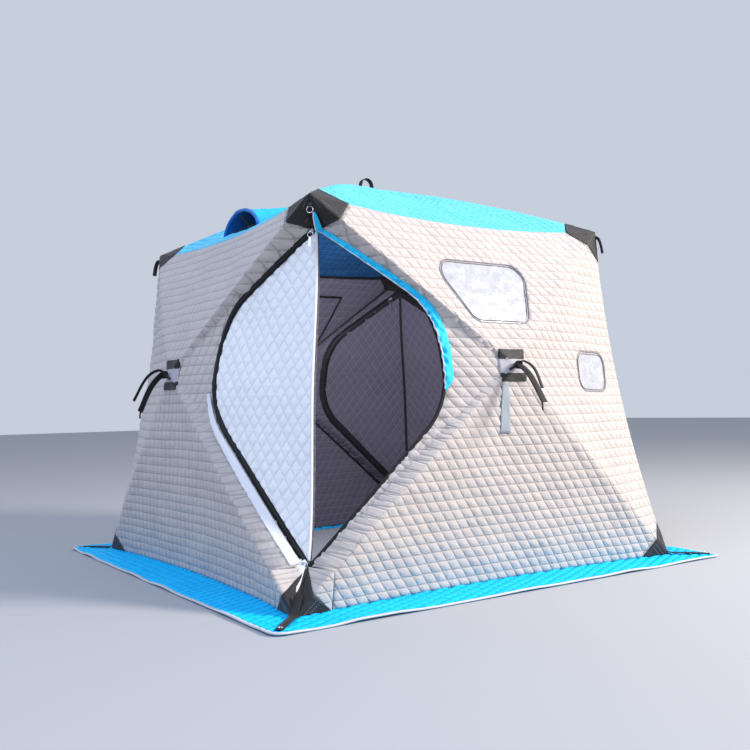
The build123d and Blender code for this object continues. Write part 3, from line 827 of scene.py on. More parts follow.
def cloth_skins(quilt, seed, outer_height=outer_puff, inner_height=lining_puff, depth=0.0):
    """Outer and inner skin of a quilted cloth."""
    swell = quilt.puff(seed)
    fold = puckers(quilt)
    crumple = ripple(quilt.points, crumple_size, seed + 11) * crumple_height * quilt.fade
    outer = quilt.off(swell * outer_height + fold + crumple - depth)
    return outer, quilt.off(fold - swell * inner_height - cloth - depth)


def rounded(made):
    """A closed piece with its faces turned outwards."""
    edit = bmesh.new()
    edit.from_mesh(made.data)
    bmesh.ops.remove_doubles(edit, verts=edit.verts, dist=1e-6)
    bmesh.ops.recalc_face_normals(edit, faces=edit.faces)
    edit.to_mesh(made.data)
    edit.free()
    return made


def joined(parts):
    """Several sets of points, faces and face materials as one."""
    points, faces, numbers = [], [], []
    for part_points, part_faces, part_numbers in parts:
        start = sum(len(done) for done in points)
        faces += [[start + index for index in face] for face in part_faces]
        points.append(np.asarray(part_points))
        numbers += list(part_numbers)
    return np.concatenate(points), faces, numbers


def fit(made, slot, *nodes):
    """Let a finished piece ride on the shelter and stand for some solids."""
    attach(made, "root")
    if nodes:
        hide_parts(*nodes)
    return made


def sewn(name, quilt, skins, cloths, slot, *nodes, wall="front", faces=None):
    """A closed piece of quilted cloth on one of the walls, fitted to the shelter."""
    faces = quilt.parts["rest"] if faces is None else faces
    points, faces, numbers, uvs = closed_sheet(faces, *skins, quilt.quilting())
    made = piece(name, on_wall(points, wall), faced(faces, wall), cloths, numbers, uvs)
    return fit(made, slot, *nodes)


def one(name, parts, materials, slot, *nodes, smooth=True, uv=None):
    """Several parts as one piece with its faces outwards, fitted to the shelter."""
    points, faces, numbers = joined(parts)
    numbers = np.minimum(numbers, len(materials) - 1)
    made = rounded(piece(name, points, faces, materials, numbers, uv, smooth))
    return fit(made, slot, *nodes)


def along_surface(path, surface=onto_wall):
    """Places along a flat path on a surface, with the directions along, beside and off it."""
    places, normals = surface(path)
    padded = np.pad(normals, ((3, 3), (0, 0)), mode="edge")
    normals = unit(sum(padded[shift : shift + len(normals)] for shift in range(7)))
    ways = unit(np.gradient(places, axis=0))
    beside = unit(np.cross(normals, ways))
    return places, np.stack((ways, beside, np.cross(ways, beside)), axis=1)


def settled(points, surface):
    """Points moved to the nearest of a surface."""
    tree = {onto_wall: wall_surface, onto_roof: roof_surface}.get(surface)
    if tree is None:
        return points
    return np.array([tree.find_nearest(point)[0] for point in points.tolist()])


def band(path, section, surface=onto_wall, number=0, on_cloth=False):
    """A closed band that follows a flat path on a surface. The section is its outline as
    (beside the path, off the surface); on_cloth makes it follow the cloth's slack."""
    places, frames = along_surface(path, surface)
    waves = wall_slack(path, places) if on_cloth else 0
    rings = [
        settled(places + frames[:, 1] * aside, surface) + frames[:, 2] * (off + waves)
        for aside, off in section
    ]
    return tube(np.stack(rings, axis=1), number)


def slab(outer, inner, number=0):
    """A closed sheet between two grids of points."""
    rows, columns = outer.shape[:2]
    count = rows * columns
    index = np.arange(count).reshape(rows, columns)
    loop = np.concatenate((index[0, :-1], index[:-1, -1], index[-1, :0:-1], index[:0:-1, 0]))
    after = np.roll(loop, -1)
    faces = np.concatenate(
        (
            grid_faces(rows, columns),
            grid_faces(rows, columns, count)[:, ::-1],
            np.stack((loop, loop + count, after + count, after), axis=-1),
        )
    )
    points = np.concatenate((outer.reshape(-1, 3), inner.reshape(-1, 3)))
    return points, faces.tolist(), [number] * len(faces)


def tube(grid, number=0):
    """A closed skin round rings of points, with its two ends."""
    rows, columns = grid.shape[:2]
    index = np.arange(rows * columns).reshape(rows, columns)
    beside = np.roll(index, -1, axis=1)
    faces = np.stack((index[:-1], beside[:-1], beside[1:], index[1:]), axis=-1).reshape(-1, 4)
    faces = [*faces.tolist(), index[0][::-1].tolist(), index[-1].tolist()]
    return grid.reshape(-1, 3), faces, [number] * len(faces)


def strap(route, across, width, thickness, number=0):
    """Webbing along a route of points in the open, flat across a given direction."""
    route = np.asarray(route, float)
    ways = unit(np.gradient(route, axis=0))
    across = unit(np.broadcast_to(np.asarray(across, float), route.shape))
    across = unit(across - ways * (across * ways).sum(axis=1, keepdims=True))
    outside = np.cross(ways, across)
    half, thin = width / 2, thickness / 2
    lower = [(-1, -0.5), (-0.93, -1), (0.93, -1), (1, -0.5)]
    section = lower + [(-side, -off) for side, off in lower]
    rings = [route + across * side * half + outside * off * thin for side, off in section]
    return tube(np.stack(rings, axis=1), number)


def placed(part, wall):
    """A front wall's part placed on one of the walls."""
    points, faces, numbers = part
    return on_wall(points, wall), faced(faces, wall), numbers


def on_walls(part, names):
    """A front wall's part placed on some of the walls."""
    return [placed(part, wall) for wall in names]


def soft_line(points, count=40):
    """A smooth route through a few points."""
    points = np.asarray(points, float)
    ways = np.gradient(points, axis=0)
    return smooth_line(points, ways)(np.linspace(0, 1, count))


# Walls: a quilted cloth each, with its own fullness
quilts = {
    wall: (window_wall if wall in window_walls else plain_wall, seed)
    for seed, wall in enumerate(walls, 1)
}
for wall, (quilt, seed) in quilts.items():
    nodes = [f"{wall}_wall_{part}" for part in ("top", "end", "foot", "door_side")]
    skins = cloth_skins(quilt, seed)
    cloths = [wall_cloth, lining_cloth]
    made = sewn(f"{wall}_wall_cloth", quilt, skins, cloths, "wall_cloth", *nodes, wall=wall)

# Roof: one quilted cloth over four poles, seen from above as (x, y)
roof_border = np.concatenate([side[:, :2] for side in four_turns(top_seam(line_steps)[:-1])])
roof_ridges = [ridge_run[:, :2] for ridge_run in four_turns(roof_door_ridge(line_steps))]
seam_reach = top_half - top_pocket_along
corner_sides = [(-1, -1), (1, -1), (1, 1), (-1, 1)]
corner_cuts, corner_areas = {}, {}
for number, (x_side, y_side) in enumerate(corner_sides):
    ends = [
        roof_border[((roof_border - target) ** 2).sum(axis=1).argmin()]
        for target in (
            (x_side * seam_reach, y_side * top_half),
            (x_side * top_half, y_side * seam_reach),
        )
    ]
    corner_cuts[number] = spaced(np.array(ends), 0.01)
    corner_areas[number] = np.array([*ends, (2 * x_side * top_half, 2 * y_side * top_half)])
roof_quilt = Quilt(roof_border, [*roof_ridges, *corner_cuts.values()], corner_areas, 0, 90, onto_roof)
made = sewn(
    "roof_cloth",
    roof_quilt,
    cloth_skins(roof_quilt, 6, roof_puff),
    [roof_cloth, roof_lining],
    "roof_cloth",
    *(f"{wall}_roof" for wall in walls),
)


def pocket_skins(quilt, seed):
    """Skins of a plain reinforcing cloth, thicker along its hem."""
    swell = ripples(quilt.points, ((0.05, seed, 0.0008), (0.018, seed, 0.0005)))
    hem = hem_rise * (quilt.from_seam < hem_width)
    return quilt.off(plain_cloth + hem + swell), quilt.off(-cloth - 0.001)


def flat_part(quilt, name, skins):
    """A named part of a quilt as a closed sheet of one plain cloth."""
    points, faces, _, _ = closed_sheet(quilt.parts[name], *skins, quilt.quilting())
    return points, faces, [0] * len(faces)


def at_levels(line, high, low, count):
    """Points of a falling line at evenly spaced heights."""
    run = line(np.linspace(0.4, 1, 500))[::-1]
    levels = np.linspace(high, low, count)
    return np.stack([np.interp(levels, run[:, 2], run[:, axis]) for axis in range(3)], 1)


def foot_corner_patches():
    """The cloth round the door side's foot: black below a slanting edge, the wall's above."""
    half, depth_steps = 13, 11
    low, middle, high = skirt_thickness, 0.075, door_foot[1]
    seam_run = foot_seam(np.linspace(0, 0.2, 300))
    seam_point = seam_run[np.abs(seam_run[:, 0] + base_half - foot_pocket_along).argmin()]
    pole = at_levels(door_foot_ridge, high, low, 200)
    pole_middle = pole[np.abs(pole[:, 2] - middle).argmin()]
    fold_high = at_levels(door_seam, high, low, 2)[0]
    wall_corner = onto_wall([(-door_foot[0] + pocket_lap, high)])[0][0]
    share = np.linspace(0, 1, half)[:, None]
    edge = np.concatenate(
        (
            seam_point + (pole_middle - seam_point) * share,
            (pole_middle + (fold_high - pole_middle) * share)[1:],
        )
    )
    foot_run = seam_point + (door_foot_tip - seam_point) * share
    foot_edge = np.concatenate((foot_run, np.tile(door_foot_tip, (half - 1, 1))))
    wall_run = np.concatenate(
        (
            spaced(np.array((seam_point, wall_corner, pole[0])), 0.001),
            (pole[0] + (fold_high - pole[0]) * share)[1:],
        )
    )
    first_run = wall_run[: -half + 1]
    picked = first_run[np.linspace(0, len(first_run) - 1, half).astype(int)]
    wall_edge = np.concatenate((picked, wall_run[-half + 1 :]))
    turn = np.clip((np.arange(2 * half - 1) - half + 1) / 2 + 0.5, 0, 1)[:, None]
    normals = unit(foot_normal * (1 - turn) + door_foot_normal * turn)[:, None]
    rows = np.linspace(0, 1, depth_steps)[None, :, None]
    black = edge[:, None] + (foot_edge - edge)[:, None] * rows
    grey = edge[:, None] + (wall_edge - edge)[:, None] * (rows * 1.05)
    hem = hem_rise * (np.arange(depth_steps) < 2)[None, :, None]
    fold = ripple(black.reshape(-1, 3), 0.045, 44).reshape(*black.shape[:2], 1) * 0.0010
    black_part = slab(black + normals * (0.0042 + hem + fold), black - normals * 0.008)
    cells = grey.reshape(-1, 3)[:, (0, 2)] @ window_wall.cell
    swell = np.abs(np.sin(math.pi * cells)).prod(axis=1) ** puff_shape
    swell = swell.reshape(*grey.shape[:2], 1)
    sunk = rows**6
    grey_off = (plain_cloth + 0.0030 * swell) * (1 - sunk) - 0.0020 * sunk
    grey_part = slab(grey + normals * grey_off, grey - normals * 0.0075)
    return black_part, grey_part, np.concatenate((cells, cells))


black_foot, grey_foot, grey_foot_uv = foot_corner_patches()
one(
    "door_foot_wall_cloth",
    on_walls(grey_foot, all_walls),
    [wall_cloth],
    "wall_cloth",
    uv=np.tile(grey_foot_uv, (4, 1)),
)

# Corner pockets of black cloth, one round each corner
pocket_parts = {"top": [], "foot": []}
for wall, (quilt, seed) in quilts.items():
    skins = pocket_skins(quilt, seed)
    for name in pocket_lines:
        part = black_foot if name == "door_foot_pocket" else flat_part(quilt, name, skins)
        pocket_parts["top" if "top" in name else "foot"].append(placed(part, wall))
skins = pocket_skins(roof_quilt, 9)
pocket_parts["top"] += [flat_part(roof_quilt, number, skins) for number in corner_cuts]
for level, parts in pocket_parts.items():
    name = f"{level}_corner_pocket_cloth"
    one(name, parts, [pocket_cloth], "pocket_cloth", f"{level}_corner_pockets")

# Skirt: a quilted strip round the foot, seen from above, with a bound outer edge
skirt_half = base_half + skirt_width
skirt_edge = fillet_path(
    [(x * skirt_half, y * skirt_half) for x, y in corner_sides],
    skirt_corner_radius,
    closed=True,
    step=0.012,
)
tuck_half = base_half - skirt_tuck
tuck_run = arc(
    (-tuck_half, -tuck_half, 0), (0, -tuck_half + foot_seam_in, 0), (tuck_half, -tuck_half, 0)
)(line_steps[:-1])
tuck_edge = np.concatenate([side[:, :2] for side in four_turns(tuck_run)])
mitres = []
for x, y in corner_sides:
    rounding = skirt_corner_radius * (1 - math.sqrt(0.5))
    tip = np.array((x, y)) * (skirt_half - rounding)
    root = np.array((x, y)) * tuck_half
    mitres.append(spaced(np.array((tip * 0.9999, root)), 0.012))


def onto_ice(flat):
    """Points of the skirt's upper face, a little wavy where nothing holds it down."""
    flat = np.asarray(flat)
    loose = np.clip((np.abs(flat).max(axis=1) - base_half) / skirt_width, 0, 1)
    wave = 0.5 + 0.5 * ripple(flat, 0.35, 21)
    height = skirt_thickness + 0.007 * loose * np.clip(wave, 0, 1)
    return np.column_stack((flat, height)), np.tile(up, (len(flat), 1))


skirt_quilt = Quilt(
    skirt_edge[:-1],
    [np.concatenate((tuck_edge, tuck_edge[:1])), *mitres],
    {"cabin": tuck_edge},
    27,
    -27,
    onto_ice,
)
swell = skirt_quilt.puff(8)[:, None]
skins = (
    skirt_quilt.points + up * (swell * skirt_puff),
    skirt_quilt.points - up * (skirt_thickness - 0.0005),
)
nodes = [f"{wall}_skirt" for wall in walls]
made = sewn("skirt_cloth", skirt_quilt, skins, [skirt_cloth] * 2, "skirt_cloth", *nodes)
binding_section = [
    (0.0105, -0.0035), (-0.0015, -0.0035), (-0.0030, -0.0010), (-0.0015, 0.0024), (0.0105, 0.0020),
]
one("skirt_binding", [band(skirt_edge, binding_section, onto_ice)], [grey_binding], "skirt_cloth")

# Door halves: their own cut of white quilted cloth between the zip and the fold
fold_part = fold_line[(fold_line[:, 1] < door_top[1]) & (fold_line[:, 1] > door_foot[1])]
door_border = np.concatenate((snapped_door_line, fold_part[::-1]))
door_quilt = Quilt(door_border, [], {}, 56, -56, onto_wall)


def door_half(name, wall, seed, *nodes, depth=0.0, turned_over=False):
    """A half of a corner door on one wall, as deep inside it as a folded one lies."""
    skins = cloth_skins(door_quilt, seed, door_puff, door_lining_puff, depth)
    cloths = [lining_cloth, door_cloth] if turned_over else [door_cloth, lining_cloth]
    made = sewn(name, door_quilt, skins, cloths, "door_cloth", *nodes, wall=wall)


door_half("front_door_closed_half", "left", 12, "front_door")
door_half("front_door_folded_half", "left", 13, depth=cloth + 0.0085, turned_over=True)
door_half("back_door_left_half", "back", 14, "back_door")
door_half("back_door_right_half", "right", 15)

# Zips: a raised tape with a coil along its middle outside, a wide tape inside, as sections of
# (beside the path, off the surface)
outside_zip = [
    (-0.0125, -0.0015), (-0.0125, 0.0041), (-0.0050, 0.0049), (-0.0034, 0.0073), (0.0, 0.0081),
    (0.0034, 0.0073), (0.0050, 0.0049), (0.0125, 0.0041), (0.0125, -0.0015),
]
inside_tape = [
    (-0.0220, -0.0088), (-0.0200, -0.0112), (0.0200, -0.0112), (0.0220, -0.0088),
    (0.0220, -0.0070), (-0.0220, -0.0070),
]
inside_coil = [(-0.0030, -0.0108), (-0.0022, -0.0132), (0.0022, -0.0132), (0.0030, -0.0108)]
edge_tape = [
    (-0.0045, -0.0098), (-0.0045, 0.0016), (0.0010, 0.0022), (0.0085, 0.0016), (0.0085, -0.0004),
    (0.0010, -0.0008), (0.0010, -0.0080), (0.0085, -0.0086), (0.0085, -0.0104),
]
zip_path = spaced(door_line, 0.008)
zip_bands = [
    band(zip_path, section, number=number)
    for section, number in ((outside_zip, 0), (inside_tape, 0), (inside_coil, 1))
]
for name, closed, opened in (
    ("front_door_zip", ["left"], ["front"]),
    ("back_door_zip", ["back", "right"], []),
):
    parts = [placed(part, wall) for wall in closed for part in zip_bands]
    parts += on_walls(band(zip_path, edge_tape), opened)
    one(f"{name}_tape", parts, [zip_tape, zip_coil], "zip", f"{name}s")


def box_at(centre, ways, sizes):
    """The points and faces of a box with its sides along three directions."""
    steps = np.array([(i, j, k) for i in (-0.5, 0.5) for j in (-0.5, 0.5) for k in (-0.5, 0.5)])
    points = np.asarray(centre) + (steps * sizes) @ np.asarray(ways)
    sides = ((0, 1, 3, 2), (4, 6, 7, 5), (0, 4, 5, 1), (2, 3, 7, 6), (0, 2, 6, 4), (1, 5, 7, 3))
    return points, [list(side) for side in sides]


def repeated(name, part_shape, places, frames, material):
    """Copies of a small part at places, each turned to its own three directions."""
    frames = np.array(frames)
    frames[np.linalg.det(frames) < 0, 1] *= -1
    seat = bpy.data.meshes.new(f"{name}_seats")
    seat.from_pydata(np.asarray(places).tolist(), [], [])
    turns = np.array([Matrix(np.asarray(ways).T.tolist()).to_euler() for ways in frames])
    layer = seat.attributes.new("turn", "FLOAT_VECTOR", "POINT")
    layer.data.foreach_set("vector", turns.astype(np.float32).ravel())
    part = piece(f"{name}_part", *part_shape, [material])
    tree = bpy.data.node_groups.new(name, "GeometryNodeTree")
    tree.interface.new_socket("Geometry", in_out="INPUT", socket_type="NodeSocketGeometry")
    tree.interface.new_socket("Geometry", in_out="OUTPUT", socket_type="NodeSocketGeometry")
    begin = add_node(tree, "NodeGroupInput")
    turn = add_node(
        tree, "GeometryNodeInputNamedAttribute", {"data_type": "FLOAT_VECTOR"}, {"Name": "turn"}
    )
    shape = add_node(tree, "GeometryNodeObjectInfo", inputs={"Object": part})
    copies = add_node(
        tree,
        "GeometryNodeInstanceOnPoints",
        links={
            "Points": begin.outputs[0],
            "Instance": shape.outputs["Geometry"],
            "Rotation": turn.outputs["Attribute"],
        },
    )
    real = add_node(
        tree, "GeometryNodeRealizeInstances", links={"Geometry": copies.outputs["Instances"]}
    )
    painted = add_node(
        tree, "GeometryNodeSetMaterial", inputs={"Material": material},
        links={"Geometry": real.outputs["Geometry"]},
    )
    add_node(tree, "NodeGroupOutput", links={0: painted.outputs["Geometry"]})
    made = bpy.data.objects.new(name, seat)
    bpy.context.scene.collection.objects.link(made)
    maker = made.modifiers.new("copies", "NODES")
    maker.node_group = tree
    graph = bpy.context.evaluated_depsgraph_get()
    mesh = bpy.data.meshes.new_from_object(made.evaluated_get(graph))
    made.modifiers.clear()
    made.data = mesh
    bpy.data.objects.remove(part)
    return made


# Teeth of the coil, drawn coarser than the real 1.5 mm ones
tooth_pitch = 0.0055
tooth = box_at((0, 0, 0), np.eye(3), (0.0032, 0.0062, 0.0022))
tooth_places, tooth_frames = along_surface(spaced(door_line, tooth_pitch))
tooth_places = tooth_places + tooth_frames[:, 2] * 0.0078
for name, wall in (
    ("front_door_zip_teeth", "left"),
    ("back_door_left_zip_teeth", "back"),
    ("back_door_right_zip_teeth", "right"),
):
    places, frames = on_wall(tooth_places, wall), on_wall(tooth_frames, wall)
    fit(rounded(repeated(name, tooth, places, frames, zip_coil)), "zip")


def ring(centre, way, off, radius, thickness, number=0):
    """A ring of round wire, its middle line through a plane of two directions."""
    count, sides = 20, 6
    angles = np.linspace(0, 2 * math.pi, count, endpoint=False)
    around = np.linspace(0, 2 * math.pi, sides, endpoint=False)
    spokes = np.cos(angles)[:, None] * way + np.sin(angles)[:, None] * off
    axis = unit(np.cross(way, off))
    grid = (
        centre
        + spokes[:, None] * (radius + thickness * np.cos(around)[None, :, None])
        + axis * thickness * np.sin(around)[None, :, None]
    )
    index = np.arange(count * sides).reshape(count, sides)
    right_of = np.roll(index, -1, axis=1)
    after = np.roll(index, -1, axis=0)
    corner = np.roll(right_of, -1, axis=0)
    faces = np.stack((index, after, corner, right_of), axis=-1).reshape(-1, 4).tolist()
    return grid.reshape(-1, 3), faces, [number] * len(faces)


def slider(level, side):
    """A zip slider with its ring at a height on the door line of the front wall."""
    number = np.abs(zip_path[:, 1] - level).argmin()
    places, frames = along_surface(zip_path)
    along, beside, off = frames[number]
    off = off * side
    base = places[number] + off * (0.0105 if side > 0 else 0.0150)
    ways = (along, beside, off)
    tab = base + off * 0.0055 + along * 0.002
    hang = unit(off * 0.25 - up)
    middle = base + off * 0.008 + hang * 0.014
    pull = [middle + hang * out for out in (0.011, 0.030, 0.050)]
    return [
        (*box_at(base, ways, (0.020, 0.013, 0.007)), [0] * 6),
        (*box_at(tab, ways, (0.012, 0.004, 0.004)), [0] * 6),
        ring(middle, hang, unit(np.cross(hang, off)), 0.012, 0.0013),
        strap(pull, np.cross(hang, off), 0.010, 0.0018),
    ]


slider_places = (
    ("left", 1.425, 1), ("left", 0.160, 1), ("left", 0.232, -1),
    ("back", 0.205, -1), ("right", 0.205, -1), ("back", 1.390, -1),
)
slider_parts = [
    placed(part, wall) for wall, level, side in slider_places for part in slider(level, side)
]
one("zip_sliders", slider_parts, [slider_metal], "zip", smooth=False)


# Storm flaps: blue cloth with a pale bound edge, sewn beside the upper door edge and left to
# stand a little off the wall; a pale strip covers the lower part of each closed zip
def flap(path, width, seed, lift=0.010, wave=0.004, sewn_outside=True, start=-0.004, seat=0.0075):
    """A flap along a path, as a closed skin: sewn down on one side, and bound on the other."""
    path = spaced(path, 0.008)
    t = np.linspace(0, 1, len(path))
    widths = np.interp(t, *width)
    places, frames = along_surface(path)
    rings = []
    steps = 9
    shares = np.linspace(0, 1, steps)
    for shift, across in ((0.0, shares), (-0.0026, shares[::-1])):
        for share in across:
            free = 1 - share if sewn_outside else share
            aside = (start + widths * share)[:, None]
            tips = np.column_stack((t * 1.5, np.full(len(t), share * 0.12)))
            wrinkle = ripple(tips, 0.060, seed) * wave * (0.35 + 0.65 * free)
            arch = math.sin(math.pi * min(free, 0.85)) * 0.4 + free * 0.6
            off = seat + lift * arch + wrinkle + shift
            laid = settled(places + frames[:, 1] * aside, onto_wall)
            rings.append(laid + frames[:, 2] * off[:, None])
    points, faces, _ = tube(np.stack(rings, axis=1))
    columns = 2 * steps
    bound = (0, columns - 2, columns - 1) if sewn_outside else (steps - 2, steps - 1, steps)
    numbers = [int(column in bound) for _ in range(len(path) - 1) for column in range(columns)]
    return points, faces, numbers + [1, 1]


# The flaps' ends that lie on the corner pockets, as (height, beside the corner, half width)
flap_tongue = (
    (1.422, -0.016, 0.013), (1.440, -0.014, 0.013), (1.460, -0.012, 0.011), (1.480, -0.010, 0.008),
    (1.494, -0.009, 0.003),
)
flap_tongue_edge = tuple((z, side + half, 0.003) for z, side, half in flap_tongue)
strip_tongue = (
    (0.176, 0.034, 0.024), (0.150, 0.030, 0.022), (0.122, 0.025, 0.017), (0.094, 0.020, 0.011),
    (0.070, 0.018, 0.005), (0.060, 0.018, 0.002),
)


def door_tongues(stations, number=0):
    """The end of a flap, laid on both door corners' pockets."""
    heights, sides, halves = np.array(stations).T
    at_top = heights[0] > 1
    corner = (top_half, corner_height) if at_top else (base_half, 0.0)
    corner = np.array(corner) * (math.sqrt(2), 1)
    seam = np.array(door_top if at_top else door_foot) * (math.sqrt(2), 1)
    slope = seam - corner
    lift = unit((abs(slope[1]), abs(slope[0]) * (-1 if at_top else 1)))
    reach = corner[0] + slope[0] / slope[1] * (heights - corner[1])
    parts = []
    for way in (unit((-1.0, -1.0, 0.0)), unit((1.0, 1.0, 0.0))):
        side_way = np.cross(way, up)
        middle = way * reach[:, None] + up * heights[:, None] + side_way * sides[:, None]
        off = way * lift[0] + up * lift[1]
        spread = np.linspace(-1, 1, 5)[None, :, None]
        rows = middle[:, None] + side_way * halves[:, None, None] * spread
        crown = (1 - spread**2) * 0.003
        parts.append(slab(rows + off * (0.012 + crown), rows + off * (0.008 + crown), number))
    return parts


upper_line, lower_line = (
    door_line[(door_line[:, 1] > low) & (door_line[:, 1] < high)]
    for low, high in ((0.785, 1.432), (0.165, 0.800))
)
flap_width = ((0, 0.03, 0.15, 0.5, 0.8, 0.95, 1), (0.006, 0.020, 0.027, 0.038, 0.045, 0.040, 0.012))
strip_width = ((0, 0.1, 0.5, 0.85, 1), (0.008, 0.020, 0.036, 0.048, 0.050))
flap_parts = on_walls(flap(upper_line, flap_width, 31, wave=0.0062), window_walls)
flap_parts += door_tongues(flap_tongue) + door_tongues(flap_tongue_edge, 1)
one("storm_flaps_blue", flap_parts, [flap_cloth, pale_binding], "flap_cloth", "storm_flaps")
strip = flap(lower_line, strip_width, 33, 0.012, 0.002, False, start=0.013, seat=0.014)
strip_parts = on_walls(strip, ["left", "right"]) + door_tongues(strip_tongue)
one("zip_cover_strips", strip_parts, [pale_binding], "flap_cloth")


def panel(corners, lift, thickness, surface=onto_wall, number=0):
    """A piece of cloth sewn flat onto a surface between four flat corners."""
    count = 16
    a, b, c, d = (np.array(corner, float) for corner in corners)
    u, v = np.meshgrid(np.linspace(0, 1, count), np.linspace(0, 1, count), indexing="ij")
    u, v = u[..., None], v[..., None]
    flat = ((1 - u) * ((1 - v) * a + v * d) + u * ((1 - v) * b + v * c)).reshape(-1, 2)
    places, normals = surface(flat)
    places = places.reshape(count, count, 3)
    for _ in range(3):
        middle = places[1:-1, 1:-1]
        around = places[:-2, 1:-1] + places[2:, 1:-1] + places[1:-1, :-2] + places[1:-1, 2:]
        places[1:-1, 1:-1] = (middle * 2 + around) / 6
    normals = normals.reshape(count, count, 3)
    normals = unit(normals + normals.reshape(-1, 3).mean(axis=0))
    crease = ripple(places.reshape(-1, 3), 0.03, 51).reshape(count, count, 1) * 0.0005
    if surface is onto_wall:
        crease += wall_slack(flat, places.reshape(-1, 3)).reshape(count, count, 1)
    outer = places + normals * (lift + thickness + crease)
    return slab(outer, places + normals * (lift - 0.003 + crease), number)


# Windows: creased film set into the cloth, with two stitched lines round it
film_off = ripples(window_wall.points, film_waves) * np.clip(window_wall.from_seam / film_fade, 0, 1)
skins = [window_wall.off(film_off - depth) for depth in (0.0012, 0.0032)]
for name, node in (("big_window", "large_window_films"), ("small_window", "small_window_films")):
    parts = on_walls(flat_part(window_wall, name, skins), window_walls)
    one(f"{name}_vinyl", parts, [film], "window_film", node)
window_edge = [(-0.0022, -0.002), (-0.0017, 0.0020), (0.0017, 0.0024), (0.0022, -0.002)]
window_seam = [(aside * 0.7 - 0.010, off) for aside, off in window_edge]
edge_parts = []
for outline in (big_window, small_window):
    for section in (window_edge, window_seam):
        edge_parts += on_walls(band(outline, section), window_walls)
one("window_edges", edge_parts, [window_stitch], "window_film")

# Covers that hang inside the windows, of lining cloth with a black edge
cover_corners = (
    ((-0.361, 1.398), (0.327, 1.398), (0.205, 1.035), (-0.211, 1.035)),
    ((0.428, 1.004), (0.782, 1.000), (0.752, 0.738), (0.420, 0.742)),
)
cover_edge = [(-0.007, -0.0110), (-0.006, -0.0150), (0.006, -0.0150), (0.007, -0.0110)]
folds = puckers(window_wall)
skins = [window_wall.off(folds - cloth - depth) for depth in (0.0040, 0.0062)]
cover_faces = np.concatenate(
    [window_wall.parts[name] for name in ("rest", "big_window", "small_window")]
)
cover_middles = window_wall.flat[cover_faces].mean(axis=1)
edge_parts = []
for number, corners in enumerate(cover_corners):
    outline = spaced(np.array([*corners, corners[0]]), 0.01)
    chosen = cover_faces[inside_outline(cover_middles, outline)]
    for wall in window_walls:
        name = f"{wall}_window_cover_{number}"
        cloths = [lining_cloth] * 2
        sewn(name, window_wall, skins, cloths, "wall_cloth", wall=wall, faces=chosen)
    edge_parts += on_walls(band(outline, cover_edge, on_cloth=True), window_walls)
one("window_cover_edges", edge_parts, [zip_tape], "wall_cloth")

# Hub patches: two black strips and a grey one between, and a pale strip under the front one
half_patch = patch_width / 2
patch_parts = []
for low, high, number, lift in (
    (0.912, 0.952, 0, 0.0062), (0.852, 0.916, 1, 0.0050), (0.822, 0.856, 0, 0.0062),
):
    corners = ((-half_patch, low), (half_patch, low), (half_patch, high), (-half_patch, high))
    patch_parts += on_walls(panel(corners, lift, plain_cloth, number=number), all_walls)
one("hub_patch_cloth", patch_parts, [pocket_cloth, plain_grey], "webbing", "hub_patches")
strip_corners = ((-0.062, 0.612), (-0.008, 0.612), (-0.030, 0.824), (-0.064, 0.824))
one(
    "reflective_strip",
    on_walls(panel(strip_corners, 0.0056, 0.0008), ["front"]),
    [reflective_tape],
    "webbing",
)

# Pull straps: a broad leg, a thin leg and a tail from a knot at each hub, as (y, z) and width
strap_runs = (
    (((-1.066, 0.893), (-1.092, 0.884), (-1.145, 0.843), (-1.221, 0.735)), webbing_width),
    (((-1.070, 0.897), (-1.110, 0.902), (-1.170, 0.868), (-1.212, 0.790)), 0.014),
    (((-1.206, 0.752), (-1.209, 0.728), (-1.212, 0.702)), 0.007),
)
side_runs = (
    (((-1.066, 0.893), (-1.090, 0.888), (-1.140, 0.832), (-1.189, 0.728)), webbing_width),
    (((-1.070, 0.897), (-1.108, 0.906), (-1.158, 0.874), (-1.216, 0.775)), 0.014),
    (((-1.184, 0.745), (-1.188, 0.722), (-1.190, 0.700)), 0.007),
)
knot_places = np.linspace(0, 4 * math.pi, 60)
knot_route = np.stack(
    (
        0.004 + 0.012 * np.cos(knot_places),
        -1.076 - 0.004 * np.sin(knot_places / 2 + 0.6),
        0.893 + 0.010 * np.sin(knot_places) - 0.0008 * knot_places,
    ),
    1,
)
knot_tail = [(0.0, -1.078, 0.892), (-0.018, -1.074, 0.880), (-0.036, -1.066, 0.868)]
strap_parts = []
for wall in all_walls:
    runs = strap_runs if wall in window_walls else side_runs
    across = (1, 0, 0.25) if wall in window_walls else (0.45, 0.85, -0.45)
    parts = [
        strap(soft_line([(0, y, z) for y, z in run], 30), across, width, webbing_thickness)
        for run, width in runs
    ]
    parts.append(strap(knot_route, (0, 1, 0.1), 0.018, 0.006))
    parts.append(strap(soft_line(knot_tail, 20), (0.6, 0, 1), 0.011, 0.003))
    strap_parts += [placed(part, wall) for part in parts]
one("pull_strap_webbing", strap_parts, [webbing], "webbing", "pull_straps")

# Roof loop: webbing bent over the roof hub, sewn down on both sides
half_loop = [(0.070, 1.826), (0.046, 1.832), (0.036, 1.846), (0.027, 1.874)]
loop_run = [(-x, z) for x, z in half_loop] + [(0, 1.888)] + half_loop[::-1]
loop_route = soft_line([(x, 0, z) for x, z in loop_run], 60)
one(
    "roof_loop_webbing",
    [strap(loop_route, (0, 1, 0), webbing_width, 0.004)],
    [webbing],
    "webbing",
    "roof_strap_loop",
)

